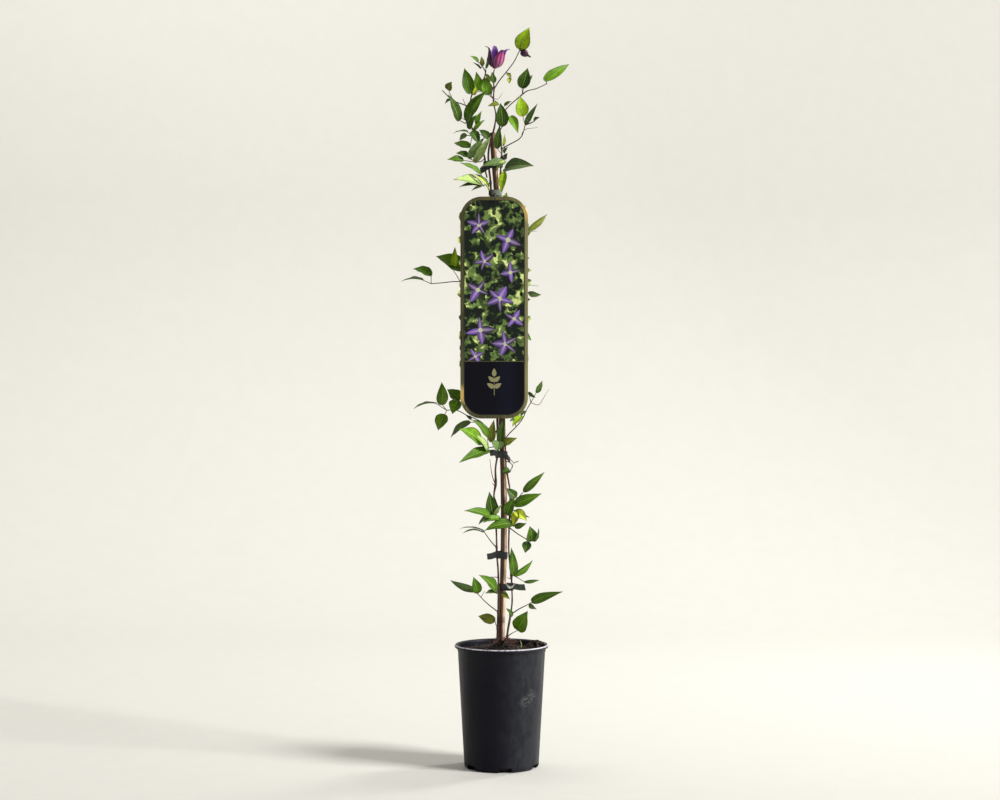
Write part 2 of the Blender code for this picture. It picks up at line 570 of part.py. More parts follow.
def standing_hole(path, radii, helpers):
    """A plain hole that a stem or the cane stands in, a little wider and deeper than its foot."""
    foot = Vector(path[0][:3]) - Vector((0, 0, GAP))
    points = [placed(foot)] + [placed(knot) for knot in path[1:]]
    tube("hole", points, [(radius + GAP) * MM for radius in radii], HOLE_RESOLUTION, helpers)


def make_soil(parts, helpers):
    floor = POT_FLOOR + GAP
    heights = (SOIL_LEVEL - SOIL_EDGE_DROP, SOIL_CORNER_RISE)
    wall = [(pot_outer_radius(z) - POT_WALL - SOIL_CLEARANCE, z) for z in heights]
    rings = [(wall[0][0] * i / SOIL_RINGS, SOIL_LEVEL) for i in range(SOIL_RINGS + 1)]
    profile = rings + wall + [(SOIL_FOOT_RADIUS, floor), (0.0, floor)]
    soil = settled(turned("soil", profile, POT_SIDES, parts), parts)
    for vertex in soil.data.vertices:
        if abs(vertex.co.z - SOIL_LEVEL * MM) < 1e-5:
            vertex.co.z = soil_height(vertex.co.x / MM, vertex.co.y / MM) * MM
    standing_hole(CANE_PATH[:3], [CANE_RADIUS] * 3, helpers)
    for path in (STEM_LEFT[:2], STEM_RIGHT[:2]):
        standing_hole(path, [knot[3] for knot in path], helpers)
    soil = combine(soil, helpers, "DIFFERENCE")
    dress(soil, material("bark_compost", (0.020, 0.013, 0.010), 0.95))


def make_cane(parts):
    cane = tube("cane", [placed(p) for p in CANE_PATH], [CANE_RADIUS * MM] * len(CANE_PATH), 3, parts)
    dress(cane, material("bamboo", (0.55, 0.36, 0.19), 0.5))


def make_stems(parts, helpers):
    bark = material("stem_bark", (0.16, 0.085, 0.055), 0.7)
    for name, path in STEMS.items():
        stem = tube(name, [placed(p) for p in path], [knot[3] * MM for knot in path], 1, parts)
        for stub in STUBS[name]:
            tube("stub", [placed(p) for p in stub], [TWIG_RADIUS * MM, STUB_TIP_RADIUS * MM], 0, helpers)
        dress(combine(stem, helpers, "UNION"), bark)


def leaf_rows(start, base, tip, width, turn):
    """The rows of a leaf from its joint: each has a middle, a way to its edge and a rise at the edge."""
    along = (tip - base).normalized()
    length = (tip - base).length
    up = (LEAF_FACING - LEAF_FACING.dot(along) * along).normalized()
    up.rotate(Quaternion(along, math.radians(turn)))
    span = (base - start).length
    stalk = [start, base]
    if span > SHORT_STALK * MM:
        stalk.insert(1, start.lerp(base, 0.5) - Vector((0, 0, LEAFSTALK_SAG * span)))
    rows = []
    for number, point in enumerate(stalk):
        ahead = along if point == base else stalk[number + 1] - point
        rows.append((point, ahead.cross(up).normalized() * TWIG_RADIUS * MM, Vector()))
    for u in LEAF_STATIONS if length > SMALL_LEAF * MM else SMALL_LEAF_STATIONS:
        half = width / 2 * LEAF_BREADTH_SCALE * math.sqrt(u) * (1 - u) ** LEAF_TAPER
        middle = base + along * length * u + up * LEAF_ARCH * length * 4 * u * (1 - u)
        rows.append((middle, along.cross(up) * half, up * LEAF_FOLD * half))
    return rows


def make_leaf(rows, collection):
    """A thin closed blade with its flat stalk, split into triangles alike on both faces."""
    shape = bmesh.new()
    bmesh.ops.create_grid(shape, x_segments=len(rows) - 1, y_segments=2, size=0.5)
    for vertex in shape.verts:
        middle, edge, rise = rows[round((vertex.co.x + 0.5) * (len(rows) - 1))]
        v = 2 * vertex.co.y
        vertex.co = middle + edge * v + rise * abs(v)
    bmesh.ops.remove_doubles(shape, verts=shape.verts, dist=1e-6)
    bmesh.ops.triangulate(shape, faces=shape.faces)
    mesh = bpy.data.meshes.new("leaf")
    shape.to_mesh(mesh)
    shape.free()
    leaf = add_object("leaf", mesh, collection)
    wall = leaf.modifiers.new("thickness", "SOLIDIFY")
    wall.thickness = LEAF_THICKNESS * MM
    wall.offset = 0.0


def make_shoot(name, stem, height, lean, bends, leaves, twigs, finish, parts, helpers):
    """A stalk whose root ends just off the bark, on the side that it grows towards, with its leaves."""
    x, y, z, radius = along_path(STEMS[stem], height)

    def leaning(point):
        return placed((point[0], point[1] + lean * abs(point[0] - x), point[2]))

    joints = [leaning(bend) for bend in bends]
    out = joints[0] - placed((x, y, z))
    out.z = 0
    joints.insert(0, placed((x, y, z)) + out.normalized() * (radius + TWIG_RADIUS + ROOT_GAP) * MM)
    stalk = tube(name, joints, [TWIG_RADIUS * MM] * len(joints), 0, parts)
    for joint, base, tip, width, turn in leaves:
        make_leaf(leaf_rows(joints[joint], leaning(base), leaning(tip), width * MM, turn), helpers)
    for twig in twigs:
        points = [leaning(point) for point in twig]
        tube("twig", points, [BARE_TWIG_RADIUS * MM] * len(points), 0, helpers)
    dress(combine(stalk, helpers, "UNION", "MANIFOLD"), finish)


def belt(circles, clearance):
    """The outline of a belt pulled round circles of (x, y, radius), this far off them."""
    outline = []
    for number in range(TIE_SIDES):
        angle = 2 * math.pi * number / TIE_SIDES
        out = Vector((math.cos(angle), math.sin(angle)))
        x, y, radius = max(circles, key=lambda c: c[0] * out.x + c[1] * out.y + c[2])
        outline.append((x + out.x * (radius + clearance), y + out.y * (radius + clearance)))
    return outline


def make_tail(ends, helpers):
    """A flat cut end of tape between two places."""
    start, end = placed(ends[0]), placed(ends[1])
    tail = box(helpers)
    tail.location = (start + end) / 2
    tail.rotation_euler = (end - start).to_track_quat("X", "Z").to_euler()
    tail.scale = ((end - start).length, TIE_THICKNESS * MM, TAIL_WIDTH * MM)


def make_tie(name, height, stems, tails, straps, finish, parts, helpers):
    circles = []
    for path in [CANE_PATH] + [STEMS[stem] for stem in stems]:
        knot = along_path(path, height)
        centre = placed(knot) / MM
        circles.append((centre.x, centre.y, knot[3] if len(knot) > 3 else CANE_RADIUS))
    loops = [belt(circles, TIE_CLEARANCE + TIE_THICKNESS), belt(circles, TIE_CLEARANCE)]
    ring = flat_outline(name, loops, TIE_WIDTH / 2, parts)
    ring.location = (0, 0, placed((0, 0, height)).z)
    ring = settled(ring, parts)
    for ends in tails:
        make_tail(ends, helpers)
    for strap in straps:
        tube("strap", [placed(p) for p in strap], [STRAP_RADIUS * MM] * len(strap), 1, helpers)
    dress(combine(ring, helpers, "UNION"), finish)


def rounded_card(width, height, corner):
    across, up = width / 2 - corner, height / 2 - corner
    centres = [(across, up, 0), (-across, up, 90), (-across, -up, 180), (across, -up, 270)]
    arcs = [arc((x, y), corner, turn, turn + 90, LABEL_CORNER_STEPS) for x, y, turn in centres]
    return [point for one in arcs for point in one]


def make_label(parts):
    middle = placed(LABEL_MIDDLE) / MM
    hole = placed((LABEL_HOLE[0], LABEL_MIDDLE[1], LABEL_HOLE[1])) / MM - middle
    loops = [
        rounded_card(LABEL_WIDTH, LABEL_HEIGHT, LABEL_CORNER),
        arc((hole.x, hole.z), LABEL_HOLE_RADIUS, 360, 360 / LABEL_HOLE_SIDES, LABEL_HOLE_SIDES - 1),
    ]
    card = flat_outline("label", loops, LABEL_THICKNESS / 2, parts)
    card.rotation_euler = (math.radians(90), 0, 0)
    card.location = middle * MM
    dress(settled(card, parts), material("label_card", (0.05, 0.06, 0.05), 0.4))


def flower_frame(axis):
    """Two directions across an axis: to the right as seen from the front, and away from the viewer."""
    right = (Vector((1, 0, 0)) - axis.x * axis).normalized()
    return right, axis.cross(right)


def make_tepal(angle, further_out, collection):
    """One thick pointed tepal of the bell, whose tip bends outwards."""
    right, back = flower_frame(FLOWER_AXIS)
    base = placed(FLOWER_BASE)
    shape = bmesh.new()
    bmesh.ops.create_grid(shape, x_segments=6, y_segments=2, size=0.5)
    for vertex in shape.verts:
        u, v = vertex.co.x + 0.5, 2 * vertex.co.y
        breadth = max(TEPAL_LEAST_BREADTH, min(1.0, TEPAL_FULLNESS * (1 - u) ** TEPAL_TAPER))
        turn = math.radians(angle + TEPAL_HALF_ANGLE * breadth * v)
        radius = between(BELL_RADII, u) + further_out - TEPAL_CHANNEL * v * v * breadth
        out = right * math.cos(turn) + back * math.sin(turn)
        vertex.co = base + (FLOWER_AXIS * (TEPAL_RISE + between(BELL_HEIGHTS, u)) + out * radius) * MM
    bmesh.ops.triangulate(shape, faces=shape.faces)
    mesh = bpy.data.meshes.new("tepal")
    shape.to_mesh(mesh)
    shape.free()
    tepal = add_object("tepal", mesh, collection)
    wall = tepal.modifiers.new("thickness", "SOLIDIFY")
    wall.thickness = TEPAL_THICKNESS * MM
    wall.offset = 0.0


def turned_on_axis(name, profile, axis, base, sides, parts):
    """A turned shape that stands on an axis of the flower or bud, as a plain mesh."""
    made = turned(name, profile, sides, parts)
    made.rotation_euler = axis.to_track_quat("Z", "X").to_euler()
    made.location = placed(base)
    return settled(made, parts)


def make_flower(parts, helpers):
    flower = turned_on_axis("flower", CUP_PROFILE, FLOWER_AXIS, FLOWER_BASE, FLOWER_SIDES, parts)
    for number, angle in enumerate(TEPAL_ANGLES):
        make_tepal(angle, TEPAL_STAGGER * (-1) ** number, helpers)
    dress(combine(flower, helpers, "UNION"), material("tepal", (0.20, 0.035, 0.16), 0.5))
    stamens = turned_on_axis("flower_centre", STAMEN_PROFILE, FLOWER_AXIS, FLOWER_BASE, FLOWER_SIDES, parts)
    dress(stamens, material("stamens", (0.62, 0.60, 0.32), 0.6))


def make_bud(parts):
    bud = turned_on_axis("bud", BUD_PROFILE, BUD_AXIS, BUD_CENTRE, BUD_SIDES, parts)
    dress(bud, material("bud_skin", (0.05, 0.012, 0.04), 0.45))


def main():
    clear_scene()
    parts = new_collection("clematis_on_cane")
    helpers = new_collection("helpers")
    make_pot(parts, helpers)
    make_soil(parts, helpers)
    make_cane(parts)
    make_stems(parts, helpers)
    leaf_green = material("leaf", (0.10, 0.22, 0.02), 0.5)
    for name, shoot in SHOOTS.items():
        make_shoot(name, *shoot, leaf_green, parts, helpers)
    tape = material("tie_tape", (0.012, 0.016, 0.015), 0.4)
    for name, tie in TIES.items():
        make_tie(name, *tie, tape, parts, helpers)
    make_label(parts)
    make_flower(parts, helpers)
    make_bud(parts)


main()
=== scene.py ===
"""A young clematis tied to a bamboo cane in a black nursery pot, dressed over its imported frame.

Metres, +Z up, with the viewer at -Y and +X to the viewer's right. Tables of places are in millimetres, in
the upright plane through the cane as an eye three metres off sees them; placed() carries them to their
real depth. Each group of like pieces has its own operator in the Clematis panel of the sidebar.
"""

import math
import random

import bmesh
import bpy
import numpy as np
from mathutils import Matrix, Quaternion, Vector, noise


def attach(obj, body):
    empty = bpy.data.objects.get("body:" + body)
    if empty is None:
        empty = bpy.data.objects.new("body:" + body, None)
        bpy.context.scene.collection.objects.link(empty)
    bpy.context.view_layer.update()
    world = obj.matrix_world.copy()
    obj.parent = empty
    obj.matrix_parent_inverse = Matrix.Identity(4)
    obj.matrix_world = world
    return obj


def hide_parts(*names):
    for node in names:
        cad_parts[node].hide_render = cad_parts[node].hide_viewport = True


bl_info = {
    "name": "Clematis on a cane",
    "version": (1, 0, 0),
    "blender": (4, 5, 0),
    "location": "3D View > Sidebar > Clematis",
    "description": "Dresses a potted clematis over its packed frame",
    "category": "Add Mesh",
}

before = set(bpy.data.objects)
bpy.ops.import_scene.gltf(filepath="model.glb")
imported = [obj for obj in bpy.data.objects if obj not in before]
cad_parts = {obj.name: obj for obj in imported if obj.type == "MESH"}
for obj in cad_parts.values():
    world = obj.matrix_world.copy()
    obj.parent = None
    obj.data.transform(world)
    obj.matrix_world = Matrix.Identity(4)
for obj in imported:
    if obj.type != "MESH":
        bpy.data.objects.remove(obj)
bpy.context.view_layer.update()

MM = 0.001
EYE = Vector((-2.4, -3000.0, 587.4))

POT_HEIGHT = 196.0
POT_RIM_RADIUS = 75.0
POT_TOP_RADIUS = 70.2
POT_LOW_RADIUS = 60.0
POT_FOOT_RADIUS = 54.5
POT_WALL = 1.2
POT_FLOOR = 1.6
POT_CORNER_RADIUS = 6.0
POT_CORNER_HEIGHT = 8.0
# The lip and the band under it: how far in from the rim's radius, and how far below the top.
POT_LIP = [(5.1, 1.2), (1.4, 0.0), (0.0, 1.4), (0.0, 4.2), (0.6, 5.0), (3.6, 5.4), (3.8, 8.0), (4.9, 8.6)]
SLOT_COUNT = 6
SLOT_SIZE = (13.0, 20.0, 7.5)
SLOT_MIDDLE_RADIUS = 58.0
SLOT_OVERRUN = 2.0
SLOT_TURN = 6.0
# The scuffed patch slants: its long direction, its short one, and how many times slimmer it is there.
SCUFF_ALONG = (0.6, 0.3, 0.74)
SCUFF_ACROSS = (-0.66, 0.0, 0.75)
SCUFF_SLIMNESS = 2.2
# The painted highlight line on the lip fades in over these distances in from the rim and down from the top.
LIP_HIGHLIGHT_INSET = (1.7, 1.0)
LIP_HIGHLIGHT_DROP = (2.1, 1.3)

SOIL_LEVEL = 186.5
# Heaps in the compost are (x, y, height, radius): round the stems, and at the back right.
SOIL_HEAPS = [(2.0, -1.0, 16.0, 17.0), (52.0, 30.0, 10.0, 11.0)]
# Lumps in the compost are waves of (height, turns along x, turns along y).
SOIL_WAVES = [(1.1, 0.31, 0.27), (0.7, 0.61, 0.50)]
# The bed: its gap to the pot's wall, how far under the level that wall starts and the height where it ends,
# the radius of its foot and its gap to the floor, the rings and sides of its top, and how deep chips lie.
BED_GAP = 0.4
BED_SHOULDER = 4.0
BED_WALL_END = 12.0
BED_FOOT_RADIUS = 51.5
BED_FOOT_GAP = 0.3
BED_RINGS = 40
BED_SIDES = 120
CHIP_DEPTH = 3.5
# The loose heap by the rim: its directions in degrees, its reaches, how far it may rise over the lip, and
# over how many degrees it falls off to each side.
HEAP_TURN = (11.0, 39.0)
HEAP_REACH = (60.0, 70.0)
HEAP_RISE = 2.5
HEAP_SLOPE = 16.0
CRUMB_COLOUR = (0.02, 0.012, 0.01)
# The pale sprout is where it comes up, then how far it stands aside at each height over the compost.
SPROUT = (31.0, 14.0)
SPROUT_BENDS = [(0.0, -2.0), (0.8, 6.0), (-1.0, 12.0)]

CANE_RADIUS = 5.0
CANE_PATH = [
    (-0.6, 0, 90), (0, 0, 202), (1.6, 0, 266.5), (3.7, 0, 363), (3.4, 0, 459), (1.0, 0, 540),
    (-3.6, 0, 740), (-8.0, 0, 930), (-12.4, 0, 985), (-14.2, 0, 1016),
]
# Heights of the cane's knots, and how far from one its swelling, its groove and its dark ring reach.
CANE_KNOTS = (232.0, 352.0, 474.0, 596.0, 722.0, 848.0, 978.0)
KNOT_SWELLING = 3.2
KNOT_GROOVE = 0.7
KNOT_RING = 1.1

# Stems are (x, y, z, radius).
STEMS = {
    "stem_left": [
        (-6.2, -4.7, 176, 2.2), (-5.9, -4.9, 215, 2.0), (-4.8, -5.0, 262, 1.7), (-5.2, -4.2, 310, 1.5),
        (-7.5, -3.4, 345, 1.4), (-8, -4, 370, 1.4), (-9.5, -5, 403, 1.5), (-11.5, -5, 440, 1.5),
        (-9.7, -5, 449, 2.0), (-9.5, -5, 478, 1.4), (-6.5, -4.6, 499, 1.6), (-5.9, -4.6, 530, 1.9),
        (-6.8, -4.8, 560, 1.8), (-9, -5, 640, 1.7), (-11.8, -5.2, 740, 1.6), (-14.2, -5.4, 850, 1.6),
        (-16.5, -5.4, 915, 1.6), (-17.8, -5.2, 940, 1.6), (-20.6, -5.2, 965, 1.6), (-20.8, -5.4, 985, 1.5),
        (-17.8, -7.4, 1003, 1.4), (-12, -7.5, 1022, 1.4), (-9, -4.5, 1045, 1.2), (-13, -1, 1066, 1.1),
        (-12, -0.5, 1088, 1.1), (-13, -3, 1105, 0.9), (-12.2, -6.4, 1114, 0.9), (-11.4, -7.9, 1118.3, 0.9),
    ],
    "stem_right": [
        (9.6, -3, 176, 1.7), (9.3, -3, 210, 1.6), (13.8, -4, 238, 1.7), (17, -4.4, 262, 1.3),
        (16.6, -4.4, 288, 1.3), (16, -4.4, 303, 1.7), (11.6, -4.4, 350, 1.3), (12, -4.4, 372, 1.3),
        (13.2, -5, 405, 1.5), (13.3, -5.5, 445, 1.3), (10.4, -6, 462, 1.3), (7.6, -6.6, 478, 1.2),
        (6.8, -6.6, 499, 1.2), (5.5, -6.8, 530, 1.3), (4, -7, 600, 1.3), (0.4, -7, 760, 1.3),
        (-1.6, -6.6, 900, 1.3), (-1.2, -6.4, 930, 1.3), (-1.2, -6.2, 960, 1.3), (0.5, -6.2, 985, 1.2),
        (-1.5, -6.2, 1010, 1.2), (-3, -6, 1030, 1.2), (1, -3.4, 1046, 1.0), (9, -2, 1056, 0.9),
        (28, 0, 1073, 0.9), (36, 2, 1080, 0.8),
    ],
    "stem_side": [
        (-23.2, -2.6, 944, 1.1), (-26, -2.4, 957, 1.2), (-26.4, -2.4, 973, 1.2), (-30, -1.5, 987, 1.2),
        (-38, 1, 1006, 1.2), (-46, 3, 1022, 1.2), (-53, 4, 1034, 1.3), (-51, 7, 1055, 1.0),
        (-47, 7, 1078, 1.0), (-38, 5, 1092, 0.9), (-28, 4, 1104, 0.9), (-25, 3, 1116, 0.8),
    ],
}
# Dry twigs and stubs of old leafstalks, which grow out of a stem.
STUBS = {
    "stem_left": [
        [(-5.1, -4.4, 303), (-20, -7, 303.5)], [(-9.6, -5, 448), (-15, -8, 454)],
        [(-9.4, -5, 451), (-14, -6.4, 463), (-17, -7.2, 478), (-18.6, -7.8, 493)],
    ],
    "stem_right": [
        [(16.2, -4.4, 300), (9, -8, 302.5)], [(10.4, -6, 462), (13.4, -9, 449)],
        [(6.9, -6.6, 494), (13, -9.4, 493), (20, -10.8, 487), (27, -11.2, 489)],
        [(7.0, -6.6, 489), (13.5, -9.6, 487), (18, -11, 481), (14, -11, 475)],
    ],
    "stem_side": [[(-53, 4, 1034), (-66, 0, 1041)], [(-52, 5, 1046), (-62, -1, 1071)]],
}
# What thins evenly has a radius at its root and one at its tip.
STUB_RADII = (0.85, 0.4)
STALK_RADII = (1.0, 0.7)
TWIG_RADII = (0.6, 0.25)
SPROUT_RADII = (1.6, 0.5)
# How far a stem's swelling reaches from a joint, and how many steps of what length a fine root has.
JOINT_REACH = 3.0
ROOT_STEPS = 9
ROOT_STEP = 2.4

LEAF_ARCH = 0.07
LEAF_FOLD = 0.3
LEAF_BREADTH_SCALE = 2.75
LEAF_TAPER = 1.15
LEAF_FACING = Vector((0.0, -1.0, 0.6))
LEAF_ROWS = 16
LEAF_COLUMNS = 10
LEAF_VEIN_SHARE = 0.4
DRY_TIP = (0.12, 0.055, 0.025)
# A leafstalk: its radii at its root, near the blade and at the tip, how a long one sags, and its colours.
LEAFSTALK_RADII = (0.72, 0.55, 0.12)
LONG_LEAFSTALK = 28.0
LEAFSTALK_SAG = 0.05
DARK_LEAFSTALK = (0.030, 0.020, 0.012)
GREEN_LEAFSTALK = (0.080, 0.110, 0.025)
DARK_SHARE = 0.6

# A leaf's tone is one letter, with the colour of its upper face: partly the leaf's own green and partly
# painted light, darker for leaves in shade and paler for lit ones.
TONES_WITH_PAINTED_LIGHT = {
    "b": (0.420, 0.640, 0.006), "l": (0.142, 0.315, 0.005), "m": (0.077, 0.200, 0.003),
    "d": (0.036, 0.104, 0.008), "g": (0.140, 0.230, 0.080), "o": (0.200, 0.215, 0.018),
    "p": (0.460, 0.590, 0.210), "y": (0.640, 0.700, 0.040),
}

